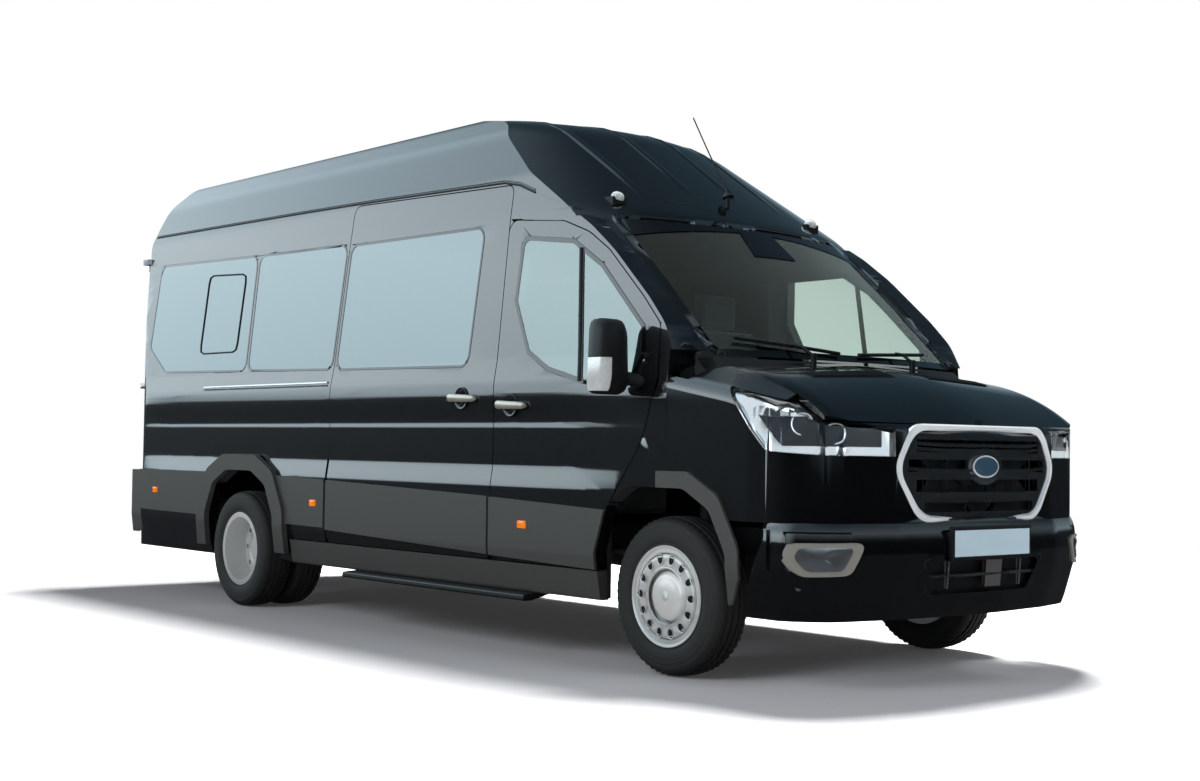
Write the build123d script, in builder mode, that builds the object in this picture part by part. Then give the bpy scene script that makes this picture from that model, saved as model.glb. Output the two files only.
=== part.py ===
"""Panel van with a raised roof: body, opening doors, steered front wheels and twin rear wheels."""

import os
from functools import cache
from math import atan2

from build123d import *

os.makedirs("parts", exist_ok=True)

# Overall sizes, millimetres. X forward, Y to the left, Z up, origin on the ground under the middle.
LENGTH = 6390
WHEELBASE = 3750
FRONT_OVERHANG = 1020
FRONT_AXLE_X = LENGTH / 2 - FRONT_OVERHANG
REAR_AXLE_X = FRONT_AXLE_X - WHEELBASE
TYRE_DIAMETER = 699
TYRE_WIDTH = 196
AXLE_Z = TYRE_DIAMETER / 2
RIM_FLANGE_DIAMETER = 441
FRONT_WHEEL_Y = 866
KINGPIN_Y = 780
TWIN_OUTER_Y = 945
TWIN_INNER_Y = 720
TWIN_MID_Y = (TWIN_OUTER_Y + TWIN_INNER_Y) / 2

REAR_FACE_X = -3140
WALL = 65
SHUT_GAP = 6
GLASS = 6
FLOOR_TOP = 690
FLOOR_BOTTOM = 640
SILL_BOTTOM = 300
DOOR_BOTTOM = 440
ROOF_TOP = 2768
PLAN_CENTRE_X = -395

# Body cross-section: half width, height, corner radius.
SECTION = [
    (985, 290, 30),
    (1020, 500, 200),
    (1024, 1230, 400),
    (1004, 1420, 500),
    (948, 2130, 1500),
    (928, 2340, 150),
    (812, 2590, 300),
    (620, ROOF_TOP, 210),
]

# Middle line of windscreen and roof front: x, height, corner radius.
SCREEN_LINE = [
    (2525, 1330, 40),
    (2100, 1750, 2500),
    (1690, 2130, 700),
    (880, 2690, 700),
    (450, ROOF_TOP, 600),
]

# Front face of the windscreen pillars in side view, just ahead of the door's front edge.
PILLAR_LINE = [(2262, 1400), (2192, 1542), (2072, 1668), (1812, 1900), (1640, 2026), (1540, 2085)]
PILLAR_Y = 847
SCREEN_FOOT_Z = 1400
DOOR_FRAME_Y = 905

BONNET_BREAK_X = 2603
BONNET_BREAK_Z = 1366
BONNET_SLOPE = 10
BONNET_RADIUS = 1000
NOSE_FACE_X = 3150
BUMPER_FACE_X = LENGTH / 2
PLATE_DEPTH = 14


def outline(plane, points, radius, amount, both=False):
    """Prism on a plane from a closed outline with rounded corners."""
    with BuildPart() as made:
        with BuildSketch(plane):
            with BuildLine():
                FilletPolyline(*points, radius=radius, close=True)
            make_face()
        extrude(amount=amount, both=both)
    return made.part


def side_prism(points, radius, side=0, reach=1400):
    """Prism seen from the side: side 1 is left, -1 right, 0 both."""
    if side == 0:
        return outline(Plane.XZ, points, radius, reach, both=True)
    return outline(Plane.XZ, points, radius, -side * reach)


def side_prism_grown(points, radius, amount, side, reach=1400):
    """The same prism with its rounded outline moved out by an amount."""
    with BuildPart() as made:
        with BuildSketch(Plane.XZ):
            with BuildLine():
                FilletPolyline(*points, radius=radius, close=True)
            make_face()
            offset(amount=amount)
        extrude(amount=-side * reach)
    return made.part


def front_prism(points, radius, x_low, x_high):
    """Prism seen from the front between two stations."""
    return outline(Plane.YZ.offset(x_low), points, radius, x_high - x_low)


def plan_prism(points, radius, z_low, z_high):
    """Prism seen from above between two heights."""
    return outline(Plane.XY.offset(z_low), points, radius, z_high - z_low)


def block(x, y, z):
    """Box between pairs of limits."""
    with BuildPart() as made:
        with Locations(((x[0] + x[1]) / 2, (y[0] + y[1]) / 2, (z[0] + z[1]) / 2)):
            Box(x[1] - x[0], y[1] - y[0], z[1] - z[0])
    return made.part


def section_run(inset, x_low, x_high):
    """Body cross-section run straight along the vehicle."""
    half = []
    radii = []
    for half_width, height, radius in SECTION:
        drop = inset if height > 2500 else 0
        low = 90 if inset and height < 300 else 0
        half.append((half_width - inset, height - drop - low))
        radii.append(radius)
    mirrored = [(-y, z) for y, z in reversed(half)]
    return front_prism(half + mirrored, radii + radii[::-1], x_low, x_high)


@cache
def body_form(inset):
    """Closed load box and cab, cut by the rounded rear and the curved screen and roof front."""
    rear = REAR_FACE_X + inset
    top = ROOF_TOP + 23 - inset
    step = 0.707 * inset
    with BuildPart() as rear_form:
        with BuildSketch(Plane.XZ):
            with BuildLine():
                FilletPolyline(
                    (PLAN_CENTRE_X, 100),
                    (rear - 4.5, 100),
                    (rear - 4.5, 1210),
                    (rear + 31.5, 2483),
                    (rear + 90, top),
                    (PLAN_CENTRE_X, top),
                    radius=(1, 1, 500, 200, 100, 1),
                    close=True,
                )
            make_face()
        extrude(amount=1400, both=True)
        add(rear_plan(inset), mode=Mode.INTERSECT)
    with BuildPart() as front_form:
        with BuildSketch(Plane(origin=(PLAN_CENTRE_X, 0, 0), x_dir=(0, -1, 0), z_dir=(-1, 0, 0))):
            with BuildLine():
                FilletPolyline(
                    (0, 50),
                    (SCREEN_LINE[0][0] - step - PLAN_CENTRE_X, 50),
                    *[(x - step - PLAN_CENTRE_X, z - step) for x, z, r in SCREEN_LINE],
                    (0, ROOF_TOP - step),
                    radius=[1, 1] + [r for x, z, r in SCREEN_LINE] + [1],
                    close=True,
                )
            make_face()
        revolve(axis=Axis((PLAN_CENTRE_X, 0, 0), (0, 0, 1)), revolution_arc=180)
    with BuildPart() as made:
        add(rear_form.part)
        add(front_form.part)
        if inset < 30:
            for side in (1, -1):
                add(pillar_form(inset, side))
        add(section_run(inset, -3300, 2700), mode=Mode.INTERSECT)
    return made.part


def pillar_form(inset, side):
    """Outer part of a windscreen pillar, which stands a little proud of the glass."""
    line = [(x - inset, z) for x, z in PILLAR_LINE]
    low, high = PILLAR_Y + inset, 1300
    with BuildPart() as made:
        with BuildSketch(Plane.XZ.offset(-high if side > 0 else low)):
            with BuildLine():
                FilletPolyline(
                    *line,
                    (1350, 2085),
                    (1350, 1300),
                    (2262 - inset, 1300),
                    radius=(30, 300, 500, 900, 500, 20, 1, 1, 1),
                    close=True,
                )
            make_face()
        extrude(amount=high - low)
    return made.part


def rear_plan(inset):
    """Plan of the load box with rounded rear corners."""
    rear = REAR_FACE_X + inset
    half = [
        (PLAN_CENTRE_X + 50, 1100),
        (rear + 260, 1100),
        (rear + 170, 1012 - inset),
        (rear + 36, 975 - inset),
        (rear, 840 - inset),
    ]
    mirrored = [(x, -y) for x, y in reversed(half)]
    return plan_prism(half + mirrored, (1, 1, 60, 110, 110, 110, 110, 60, 1, 1), 50, 2900)


@cache
def nose_form(inset):
    """Solid of bonnet, wings and front face."""
    drop = BONNET_SLOPE
    with BuildPart() as made:
        slope_plane = Plane(
            origin=(BONNET_BREAK_X, 0, BONNET_BREAK_Z),
            x_dir=(0, 1, 0),
            z_dir=Vector(1, 0, 0).rotate(Axis.Y, drop),
        )
        with BuildSketch(slope_plane):
            with BuildLine():
                FilletPolyline(
                    (-1022 + inset, -860),
                    (-1022 + inset, -120 - inset),
                    (-830 + 0.8 * inset, -42 - inset),
                    (0, 6 - inset),
                    (830 - 0.8 * inset, -42 - inset),
                    (1022 - inset, -120 - inset),
                    (1022 - inset, -860),
                    radius=(1, 75, 300, 3000, 300, 75, 1),
                    close=True,
                )
            make_face()
        extrude(amount=-700)
        low = Vector(0, 0, -BONNET_RADIUS).rotate(Axis.Y, drop)
        centre = Vector(BONNET_BREAK_X, 0, BONNET_BREAK_Z) + low
        with BuildSketch(slope_plane):
            with BuildLine():
                FilletPolyline(
                    (-1022 + inset, -860),
                    (-1022 + inset, -120 - inset),
                    (-830 + 0.8 * inset, -42 - inset),
                    (0, 6 - inset),
                    (830 - 0.8 * inset, -42 - inset),
                    (1022 - inset, -120 - inset),
                    (1022 - inset, -860),
                    radius=(1, 75, 300, 3000, 300, 75, 1),
                    close=True,
                )
            make_face()
        revolve(axis=Axis(tuple(centre), (0, 1, 0)), revolution_arc=78)
        with Locations((2650, 0, 500)):
            Box(1200, 2 * (1022 - inset), 640)
        add(section_run_open(inset), mode=Mode.INTERSECT)
        add(front_plan(NOSE_FACE_X - inset, inset, 150, 1500, 3.0), mode=Mode.INTERSECT)
    return made.part


def section_run_open(inset):
    """Lower cross-section run along the nose, open at the top."""
    low = 200 if inset else 290
    half = [(985 - inset, low), (1020 - inset, 500), (1024 - inset, 1230), (1020 - inset, 1500)]
    mirrored = [(-y, z) for y, z in reversed(half)]
    return front_prism(half + mirrored, (30, 200, 400, 1, 1, 400, 200, 30), 1800, 3300)


def front_plan(face, inset, z_low, z_high, taper):
    """Rounded front in plan, leaning back a little as it rises."""
    half = [
        (2000, 1030 - inset),
        (face - 440, 1030 - inset),
        (face - 290, 985 - inset),
        (face - 130, 850 - inset * 0.6),
        (face - 38, 540),
        (face, 160),
    ]
    mirrored = [(x, -y) for x, y in reversed(half)]
    with BuildPart() as made:
        with BuildSketch(Plane.XY.offset(z_low)):
            with BuildLine():
                FilletPolyline(
                    *half,
                    *mirrored,
                    radius=(1, 300, 300, 300, 300, 300, 300, 300, 300, 300, 300, 1),
                    close=True,
                )
            make_face()
        extrude(amount=z_high - z_low)
    return made.part


def write(solid, name):
    """Label one subcomponent and write it out."""
    solid.label = name
    export_step(solid, f"parts/{name}.step")


SIDES = ((1, "left"), (-1, "right"))

body_outer = body_form(0)
body_glass_back = body_form(GLASS)
body_inner = body_form(WALL)
shell = body_outer - body_inner
glass_skin = body_outer - body_glass_back
nose_outer = nose_form(0)
nose_inner = nose_form(28)
nose_skin = nose_outer - nose_inner

# Gutter line from the rear to the top of the windscreen: everything above it is roof.
ROOF_LINE = [(-3300, 2386), (-544, 2352), (921, 2308), (1183, 2230), (1500, 2122), (1900, 2122)]
roof_zone = side_prism(ROOF_LINE + [(1900, 2900), (-3300, 2900)], 1)
roof_gap = side_prism([(x, z - 0.6) for x, z in ROOF_LINE] + [(1900, 2900), (-3300, 2900)], 1)

# Side outlines, in side view.
ARCH_FRONT = [(-392, 250), (-405, 520), (-330, 735), (-180, 825), (180, 825), (340, 740), (440, 560), (450, 250)]
ARCH_REAR = [(-440, 250), (-430, 560), (-330, 745), (-160, 825), (160, 825), (330, 745), (430, 560), (440, 250)]
FRONT_DOOR = [
    (962, DOOR_BOTTOM),
    (1797, DOOR_BOTTOM),
    (1790, 540),
    (1868, 759),
    (2076, 1030),
    (2169, 1292),
    (2160, 1540),
    (2036, 1668),
    (1776, 1900),
    (1622, 1996),
    (1427, 2066),
    (1000, 2110),
]
FRONT_DOOR_RADIUS = (30, 10, 60, 120, 200, 150, 60, 400, 200, 200, 150, 60)
FRONT_DOOR_GLASS = [
    (1216, 1440),
    (1384, 1352),
    (1663, 1285),
    (1985, 1262),
    (2072, 1400),
    (2069, 1534),
    (1742, 1843),
    (1519, 1975),
    (1112, 2027),
    (1085, 1700),
]
SLIDING_DOOR = [(956, DOOR_BOTTOM), (994, 2110), (1004, 2286), (-478, 2332), (-566, 1300), (-588, DOOR_BOTTOM)]
WINDOW_SLIDE = [(742, 1386), (-545, 1404), (-484, 2118), (800, 2103)]
SIDE_WINDOWS = (
    [(-575, 1406), (-1580, 1424), (-1550, 2145), (-514, 2126)],
    [(-1594, 1424), (-2720, 1444), (-2986, 1614), (-2910, 2182), (-1564, 2146)],
)
REAR_DOOR_Y = 885
REAR_DOOR_BOTTOM = 600
REAR_DOOR_TOP = 2424
REAR_DOOR = [
    (4, REAR_DOOR_BOTTOM),
    (REAR_DOOR_Y, REAR_DOOR_BOTTOM),
    (REAR_DOOR_Y, 2240),
    (800, REAR_DOOR_TOP),
    (4, REAR_DOOR_TOP),
]
REAR_GLASS = [(90, 1420), (800, 1420), (790, 2150), (90, 2150)]
SCREEN = [(-842, 1404), (842, 1404), (800, 2110), (-800, 2110)]


def grown(points, amount):
    """Outline moved outwards by an amount, seen from its own middle."""
    with BuildSketch() as made:
        with BuildLine():
            Polyline(*points, close=True)
        make_face()
        offset(amount=amount, kind=Kind.INTERSECTION)
    wire = made.sketch.faces()[0].outer_wire()
    return [(v.X, v.Y) for v in wire.vertices()]


def ordered(points, amount):
    """Offset outline with its corners put in turning order."""
    moved = grown(points, amount)
    middle_a = sum(a for a, b in moved) / len(moved)
    middle_b = sum(b for a, b in moved) / len(moved)
    return sorted(moved, key=lambda p: atan2(p[1] - middle_b, p[0] - middle_a))


def window(points, radius, side):
    """Flush pane, the rebate it lies in and the hole through the wall behind it."""
    pane = glass_skin & side_prism(ordered(points, -2), radius, side)
    rebate = glass_skin & side_prism(points, radius, side)
    hole = side_prism(ordered(points, -30), max(radius - 28, 12), side)
    return pane, rebate, hole


arch_prisms = {}
for side, name in SIDES:
    front_arch = side_prism([(FRONT_AXLE_X + x, z) for x, z in ARCH_FRONT], 90, side)
    rear_arch = side_prism([(REAR_AXLE_X + x, z) for x, z in ARCH_REAR], 90, side)
    arch_prisms[name] = front_arch + rear_arch

screen_prism = front_prism(SCREEN, 60, 1200, 2700)
screen_hole = front_prism(ordered(SCREEN, 0.5), 60.5, 1200, 2700)
rear_door_hole = front_prism(
    [(-890, 500), (890, 500), (890, 2243), (803, 2430), (-803, 2430), (-890, 2243)], 30, -3300, -3000
)

# Lower walls of the body.
walls = shell - roof_gap - screen_hole - rear_door_hole
walls = walls - block((2180, 2600), (-850, 850), (100, 1420))
walls = walls - block((2235, 2600), (-1100, 1100), (100, 1425))
wing_zone = (nose_outer - nose_form(34)) & block((2000, 3200), (-1200, 1200), (250, 1460))
WING_EDGE = [(1790, 250), (1790, 540), (1871, 759), (2082, 1030), (2175, 1292), (2172, 1460), (2700, 1460), (2700, 250)]
wing_cut = wing_zone & side_prism(WING_EDGE, 10)
pillar_core = section_run(WALL + 56, 700, 1200)
pillar_post = section_run(WALL + 6, 800, 1100) - pillar_core
pillar_head = section_run(WALL - 25, 800, 1100) - pillar_core
door_side = block((-3300, 2700), (DOOR_FRAME_Y, 1400), (200, 2400)) + block(
    (-3300, 2700), (-1400, -DOOR_FRAME_Y), (200, 2400)
)
door_side_cut = block((-3300, 2700), (DOOR_FRAME_Y - 6, 1400), (200, 2400)) + block(
    (-3300, 2700), (-1400, -DOOR_FRAME_Y + 6), (200, 2400)
)

HINGE_X = -3183
HINGE_Y = 905
# Height of each rear door hinge, and how far out its bracket reaches on the body.
HINGES = [(700, 924), (1310, 960), (2160, 960)]


def hinge_leaf(side, z, y_seat, y_end):
    """Knuckle on the rear door's hinge line with the plate and foot that carry it."""
    with BuildPart() as made:
        with Locations((HINGE_X, side * HINGE_Y, z + 20)):
            Cylinder(11, 40)
        with Locations((-3164, side * (HINGE_Y + y_end) / 2, z + 20)):
            Box(38, abs(y_end - HINGE_Y), 36)
        with Locations((-3123, side * (y_seat + y_end) / 2, z + 20)):
            Box(56, abs(y_end - y_seat), 36)
    return made.part


panes = []
for side, name in SIDES:
    half = block((-3300, 2700), (0, 1400) if side > 0 else (-1400, 0), (250, 2400))
    panel = (walls & half) - arch_prisms[name] - wing_cut
    door_outline = side_prism(FRONT_DOOR, FRONT_DOOR_RADIUS, side)
    door_cut = side_prism_grown(FRONT_DOOR, FRONT_DOOR_RADIUS, SHUT_GAP, side) & door_side_cut
    y_side = (800, 1100) if side > 0 else (-1100, -800)
    panel = panel - door_cut - block((-1016, 1800), y_side, (200, DOOR_BOTTOM))
    panel = panel - block((956, 1750), y_side, (200, 760))
    door = (shell & door_outline & door_side) - arch_prisms[name] - wing_cut
    pane, rebate, hole = window(FRONT_DOOR_GLASS, 60, side)
    door = door - rebate - hole
    write(door, f"front_door_{name}")
    write(pane, f"door_glass_{name}")
    if side < 0:
        slide_radius = (40, 300, 40, 60, 300, 40)
        panel = panel - side_prism_grown(SLIDING_DOOR, slide_radius, SHUT_GAP, side)
        panel = panel - block((-600, 960), y_side, (200, 900))
        slider = shell & side_prism(SLIDING_DOOR, slide_radius, side)
        pane, rebate, hole = window(WINDOW_SLIDE, 70, side)
        slider = slider - rebate - hole
        write(slider, "sliding_door")
        write(pane, "sliding_door_glass")
    else:
        pane, rebate, hole = window(WINDOW_SLIDE, 70, side)
        panel = panel - rebate - hole
        panes.append(pane)
    for points in SIDE_WINDOWS:
        pane, rebate, hole = window(points, 70, side)
        panel = panel - rebate - hole
        panes.append(pane)
    lamp_zone = block((-3300, -3085), (905, 1100) if side > 0 else (-1100, -905), (835, 1290))
    panel = panel - lamp_zone
    panel = panel - block((-3300, -3060), (-893, 893), (250, 596))
    post_y = (700, 1100) if side > 0 else (-1100, -700)
    post = pillar_post & block((880, 1030), post_y, (FLOOR_TOP, 2330))
    head = pillar_head & block((1012, 1030), post_y, (2122, 2266))
    panel = panel + (post + head)
    for z, y_end in HINGES:
        panel = panel + hinge_leaf(side, z + 40.3, 911, y_end)
    write(panel, f"side_panel_{name}")
write(Compound(panes), "side_glass")
print("sides done")

# Roof: a front cap over the windscreen and a ribbed panel behind it.
roof = (shell & roof_zone) - rear_door_hole
roof_cap = roof & block((980.6, 2700), (-1200, 1200), (2000, 2900))
roof_panel = roof & block((-3300, 980), (-1200, 1200), (2300, 2900))
write(roof_cap, "roof_cap")
write(roof_panel, "roof_panel")

# Windscreen and the bulkhead and scuttle below it.
windscreen = glass_skin & screen_prism
write(windscreen, "windscreen")
BULKHEAD_Y = 844
bulkhead = shell & block((2200, 2600), (-BULKHEAD_Y, BULKHEAD_Y), (FLOOR_TOP, 1394))
scuttle = (nose_form(8) - nose_form(36)) & block((2150, 2499.7), (-796, 796), (1250, 1450))
scuttle = scuttle - body_form(2)
cowl = (bulkhead - nose_form(-4).intersect(block((2150, 2700), (-900, 900), (1375, 1600)))) + scuttle
write(cowl, "cowl")

# Rear doors, with flush glass.
for side, name in SIDES:
    door_shape = front_prism([(side * y, z) for y, z in REAR_DOOR], 40, -3300, -3000)
    door = (shell & door_shape) & block((-3300, REAR_FACE_X + 70), (-1000, 1000), (500, 2500))
    pane_shape = front_prism([(side * y, z) for y, z in REAR_GLASS], 60, -3300, -3000)
    pane_small = front_prism([(side * (y + (2 if y < 400 else -2)), z + (2 if z < 1800 else -2)) for y, z in REAR_GLASS], 58, -3300, -3000)
    hole_shape = front_prism([(side * (y + (30 if y < 400 else -30)), z + (30 if z < 1800 else -30)) for y, z in REAR_GLASS], 40, -3300, -3000)
    door = door - (glass_skin & pane_shape) - hole_shape
    for z, y_end in HINGES:
        door = door + hinge_leaf(side, z, 883, 862)
    write(door, f"rear_door_{name}")
    write(glass_skin & pane_small, f"rear_glass_{name}")

# Tail lamps in the rear corners.
lamps = []
for side, name in SIDES:
    zone = block((-3300, -3085.5), (905.5, 1100) if side > 0 else (-1100, -905.5), (835.5, 1289.5))
    lamps.append((body_outer - body_form(40)) & zone)
write(Compound(lamps), "tail_lamps")

# Nose: headlamps, bonnet, wings, upper bumper and grille share one skin.
HEADLAMP = [(2598, 1258), (2812, 992), (3000, 976), (3200, 974), (3200, 1082), (2990, 1112), (2850, 1196)]
HEADLAMP_INNER = 546
head_shape = side_prism(HEADLAMP, 14) & (
    block((2500, 3300), (HEADLAMP_INNER, 1200), (900, 1300)) + block((2500, 3300), (-1200, -HEADLAMP_INNER), (900, 1300))
)
head_hole = side_prism(ordered(HEADLAMP, 0.6), 14.6) & (
    block((2500, 3300), (HEADLAMP_INNER - 0.6, 1200), (900, 1300))
    + block((2500, 3300), (-1200, -HEADLAMP_INNER + 0.6), (900, 1300))
)
headlamps = (nose_outer - nose_form(90)) & head_shape
write(headlamps, "headlamps")

BONNET_PLAN = [(2500, -800), (2720, -858), (3010, -858), (3300, -700), (3300, 700), (3010, 858), (2720, 858), (2500, 800)]
bonnet_shape = plan_prism(BONNET_PLAN, 12, 900, 1600)
BONNET_LOW = [(2300, 1285), (2594, 1268), (2850, 1206), (2992, 1121), (3200, 1106), (3200, 1700), (2300, 1700)]
bonnet_side = side_prism(BONNET_LOW, 6)
bonnet = (nose_outer - nose_form(24)) & bonnet_shape & bonnet_side
write(bonnet, "bonnet")

GRILLE = [(-442, 1097), (442, 1097), (540, 920), (399, 718), (-399, 718), (-540, 920)]
grille_hole = front_prism(ordered(GRILLE, 0.5), 18.5, 2800, 3300)
grille_shape = front_prism(GRILLE, 18, 2800, 3300)
grille = (nose_form(2) - nose_form(30)) & grille_shape
for z in (745, 828, 912, 996):
    wide = 470 - abs(912 - z) * 0.55
    grille = grille - block((2800, 3300), (-wide, wide), (z, z + 52))
write(grille, "grille")

wing_side = side_prism(
    [(2176, 1500), (2181, 1292), (2088, 1030), (1877, 759), (1877, 700), (2806, 700), (2806, 990), (2592, 1262), (2850, 1200), (2850, 1500)],
    2,
)
bonnet_gap = plan_prism([(2430, -806), (2500, -806), (2721, -864), (3010, -864), (3300, -706), (3300, 706), (3010, 864), (2721, 864), (2500, 806), (2430, 806)], 12, 900, 1600)
scuttle_gap = block((2000, 2506), (-802, 802), (1000, 1600))
wings = (nose_skin & wing_side) - bonnet_gap - head_hole - scuttle_gap
wings = wings & (block((2000, 2900), (640, 1200), (500, 1500)) + block((2000, 2900), (-1200, -640), (500, 1500)))
for name in ("left", "right"):
    wings = wings - arch_prisms[name]
wings = wings - (body_outer & block((2180, 2700), (-1000, 1000), (1200, 1500)))
write(wings, "wings")
print("nose", len(wings.solids()), len(bonnet.solids()), len(headlamps.solids()), len(cowl.solids()))

# Front bumper: upper skin round the grille and lamps, lower bar further forward.
upper = (nose_skin & block((2700, 3300), (-1200, 1200), (690, 1110))) - head_hole - grille_hole - bonnet_side
upper = upper & side_prism([(2806.4, 690), (2806.4, 1000), (2830, 1110), (3300, 1110), (3300, 690)], 2)


def bumper_form(inset, z_low, z_high):
    """Lower front bar, which stands forward of the upper skin."""
    form = section_run_open(inset) & front_plan(BUMPER_FACE_X - PLATE_DEPTH - inset, inset, z_low, z_high, 0)
    return form & block((2560, 3300), (-1200, 1200), (z_low, z_high))


lower_outer = bumper_form(0, 300, 700)
lower = lower_outer - bumper_form(50, 240, 660) - bumper_form(110, 240, 760)
lower = lower & side_prism([(2640, 250), (2690, 340), (2812, 640), (2812, 720), (3300, 720), (3300, 250)], 2)
INTAKE = [(-385, 540), (385, 540), (330, 400), (-330, 400)]
lower = lower - front_prism(INTAKE, 20, 2900, 3300)
fog_hole = block((2900, 3300), (770, 1010), (520, 660)) + block((2900, 3300), (-1010, -770), (520, 660))
fog_zone = block((2902, 3300), (770.5, 1008), (520.5, 659.5)) + block((2902, 3300), (-1008, -770.5), (520.5, 659.5))
front_bumper = upper + lower
for name in ("left", "right"):
    front_bumper = front_bumper - arch_prisms[name]
front_bumper = front_bumper - ((lower_outer - bumper_form(30, 240, 760)) & fog_hole)
fog_lamps = (bumper_form(3, 250, 740) - bumper_form(29.5, 240, 760)) & fog_zone
write(front_bumper, "front_bumper")
write(fog_lamps, "fog_lamps")
print("bumper", len(front_bumper.solids()), len(fog_lamps.solids()), len(upper.solids()), len(lower.solids()))

# Rear bumper with raised corners beside the doors.
rear_lower = section_run(0, BUMPER_FACE_X * -1, -2900) & plan_prism(
    [(-2900, 1100), (-3140, 1040), (-3195, 900), (-3195, -900), (-3140, -1040), (-2900, -1100)],
    (1, 80, 100, 100, 80, 1),
    200,
    1000,
)
rear_bar = rear_lower & block((-3300, -2950), (-1200, 1200), (380, 800))
rear_bar = rear_bar - block((-3300, -2000), (-928, 928), (585, 900))
rear_bar = rear_bar - block((-3145, -2000), (-985, 985), (300, 900)) - body_form(-0.4)
for side, name in SIDES:
    y_recess = (920, 962) if side > 0 else (-962, -920)
    rear_bar = rear_bar - block((-3300, -3160), y_recess, (640, 810))
rear_bumper = rear_bar & side_prism([(-3300, 380), (-3120, 372), (-3000, 400), (-3000, 830), (-3300, 830)], 4)
write(rear_bumper, "rear_bumper")

# Lower cladding, arch lips and sills, following the body side.
proud = section_run(-14, -3130, 2700) - section_run(-0.2, -3300, 2800)
flare = section_run(-34, -3130, 2700) - section_run(-0.2, -3300, 2800)
mouldings = []
sill_list = []
for side, name in SIDES:
    y_zone = (900, 1200) if side > 0 else (-1200, -900)
    arch = arch_prisms[name]
    lip_front = side_prism([(FRONT_AXLE_X + x * 1.16, 346 + (z - 346) * 1.15) for x, z in ARCH_FRONT], 100, side)
    lip_rear = side_prism([(REAR_AXLE_X + x * 1.26, 346 + (z - 346) * 1.2) for x, z in ARCH_REAR], 110, side)
    strip = side_prism([(-2990, 806), (-1578, 808), (-1015, 800), (-600, 790), (-600, 520), (-2990, 540)], 4, side)
    rear_lip = ((flare & lip_rear) - arch) & block((-2200, -900), y_zone, (350, 1000))
    rear_strip = ((proud & strip) - lip_rear - arch) & block((-2990, -600), y_zone, (500, 900))
    front_lip = ((proud & lip_front) - arch) & block((2185, 2790), y_zone, (352, 1000))
    front_lip = front_lip & side_prism([(2185, 300), (2185, 1000), (2700, 1000), (2796, 720), (2640, 352)], 4, side)
    front_lip = front_lip - side_prism([(1700, 200), (1880, 752), (2092, 1030), (2186, 1292), (1700, 1292)], 1, side)
    mouldings += [rear_lip + rear_strip, front_lip]
    door_strip = side_prism([(966, 745), (1600, 722), (1850, 712), (1880, 545), (1790, 440), (966, 462)], 4, side)
    door_strip = (proud & door_strip) - arch
    write(door_strip & block((960, 1900), y_zone, (300, 800)), f"door_moulding_{name}")
    if side < 0:
        slide_strip = proud & side_prism([(-578, 788), (950, 747), (950, 464), (-578, 510)], 4, side)
        write(slide_strip & block((-590, 955), y_zone, (300, 800)), "sliding_door_moulding")
    else:
        slide_strip = proud & side_prism([(-594, 788), (948, 747), (948, 464), (-594, 510)], 4, side)
        mouldings.append(slide_strip & block((-598, 955), y_zone, (300, 800)))
    sill = (section_run(0, -3300, 2700) - section_run(60, -3400, 2800)) & block((-1010, 1770), y_zone, (SILL_BOTTOM, 434))
    rocker = block((-1010, 1720), (880, 942) if side > 0 else (-942, -880), (SILL_BOTTOM, FLOOR_BOTTOM))
    sill_list.append(sill + rocker)
write(Compound(mouldings), "side_mouldings")
write(Compound(sill_list), "sills")

# Running board under the sliding door.
with BuildPart() as step_board:
    with BuildSketch(Plane.YZ.offset(-340)):
        with BuildLine():
            FilletPolyline(
                (-900, 288),
                (-1010, 262),
                (-1058, 262),
                (-1058, 292),
                (-1010, 296),
                (-945, 299.7),
                (-900, 299.7),
                radius=(1, 10, 10, 10, 10, 10, 1),
                close=True,
            )
        make_face()
    extrude(amount=1630)
write(step_board.part, "side_step")

# Rail for the sliding door's middle roller, on the rear quarter.
with BuildPart() as rail_cut:
    add(section_run(-10, -2114, -600) - section_run(-0.2, -2200, -500))
rail = rail_cut.part & block((-2114, -600), (-1200, -900), (1316, 1344))
write(rail, "slide_rail")

# Floor with boxed-in wheel housings.
with BuildPart() as floor:
    with Locations((-330, 0, (FLOOR_TOP + FLOOR_BOTTOM) / 2)):
        Box(5480, 2 * 955, FLOOR_TOP - FLOOR_BOTTOM)
    for side, name in SIDES:
        with Locations((FRONT_AXLE_X - 100, side * 745, 755)):
            Box(660, 420, 230)
        with Locations((REAR_AXLE_X, side * 765, 755)):
            Box(1000, 380, 230)
    for side, name in SIDES:
        with Locations((FRONT_AXLE_X, side * 860, 580)):
            Box(900, 590, 530, mode=Mode.SUBTRACT)
        with Locations((REAR_AXLE_X, side * 880, 580)):
            Box(900, 560, 530, mode=Mode.SUBTRACT)
body_floor = floor.part & body_form(WALL + 0.4)
body_floor = body_floor - block((2150, 2900), (-1200, 1200), (200, 900))
write(body_floor, "floor_pan")

# Long rails and cross-members under the floor.
with BuildPart() as rails:
    for side, name in SIDES:
        with Locations((-200, side * 505, 580.5)):
            Box(5700, 70, 119)
    for x in (-2780, -2250, -900, 300, 1500):
        with Locations((x, 0, 590)):
            Box(60, 960, 80)
with BuildPart() as tow_holes:
    for side, name in SIDES:
        for x in (-2990, -2870):
            with Locations(Location((x, side * 505, 580), (90, 0, 0))):
                Cylinder(6.5, 90)
chassis = rails.part - tow_holes.part
write(chassis, "chassis_rails")

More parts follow.
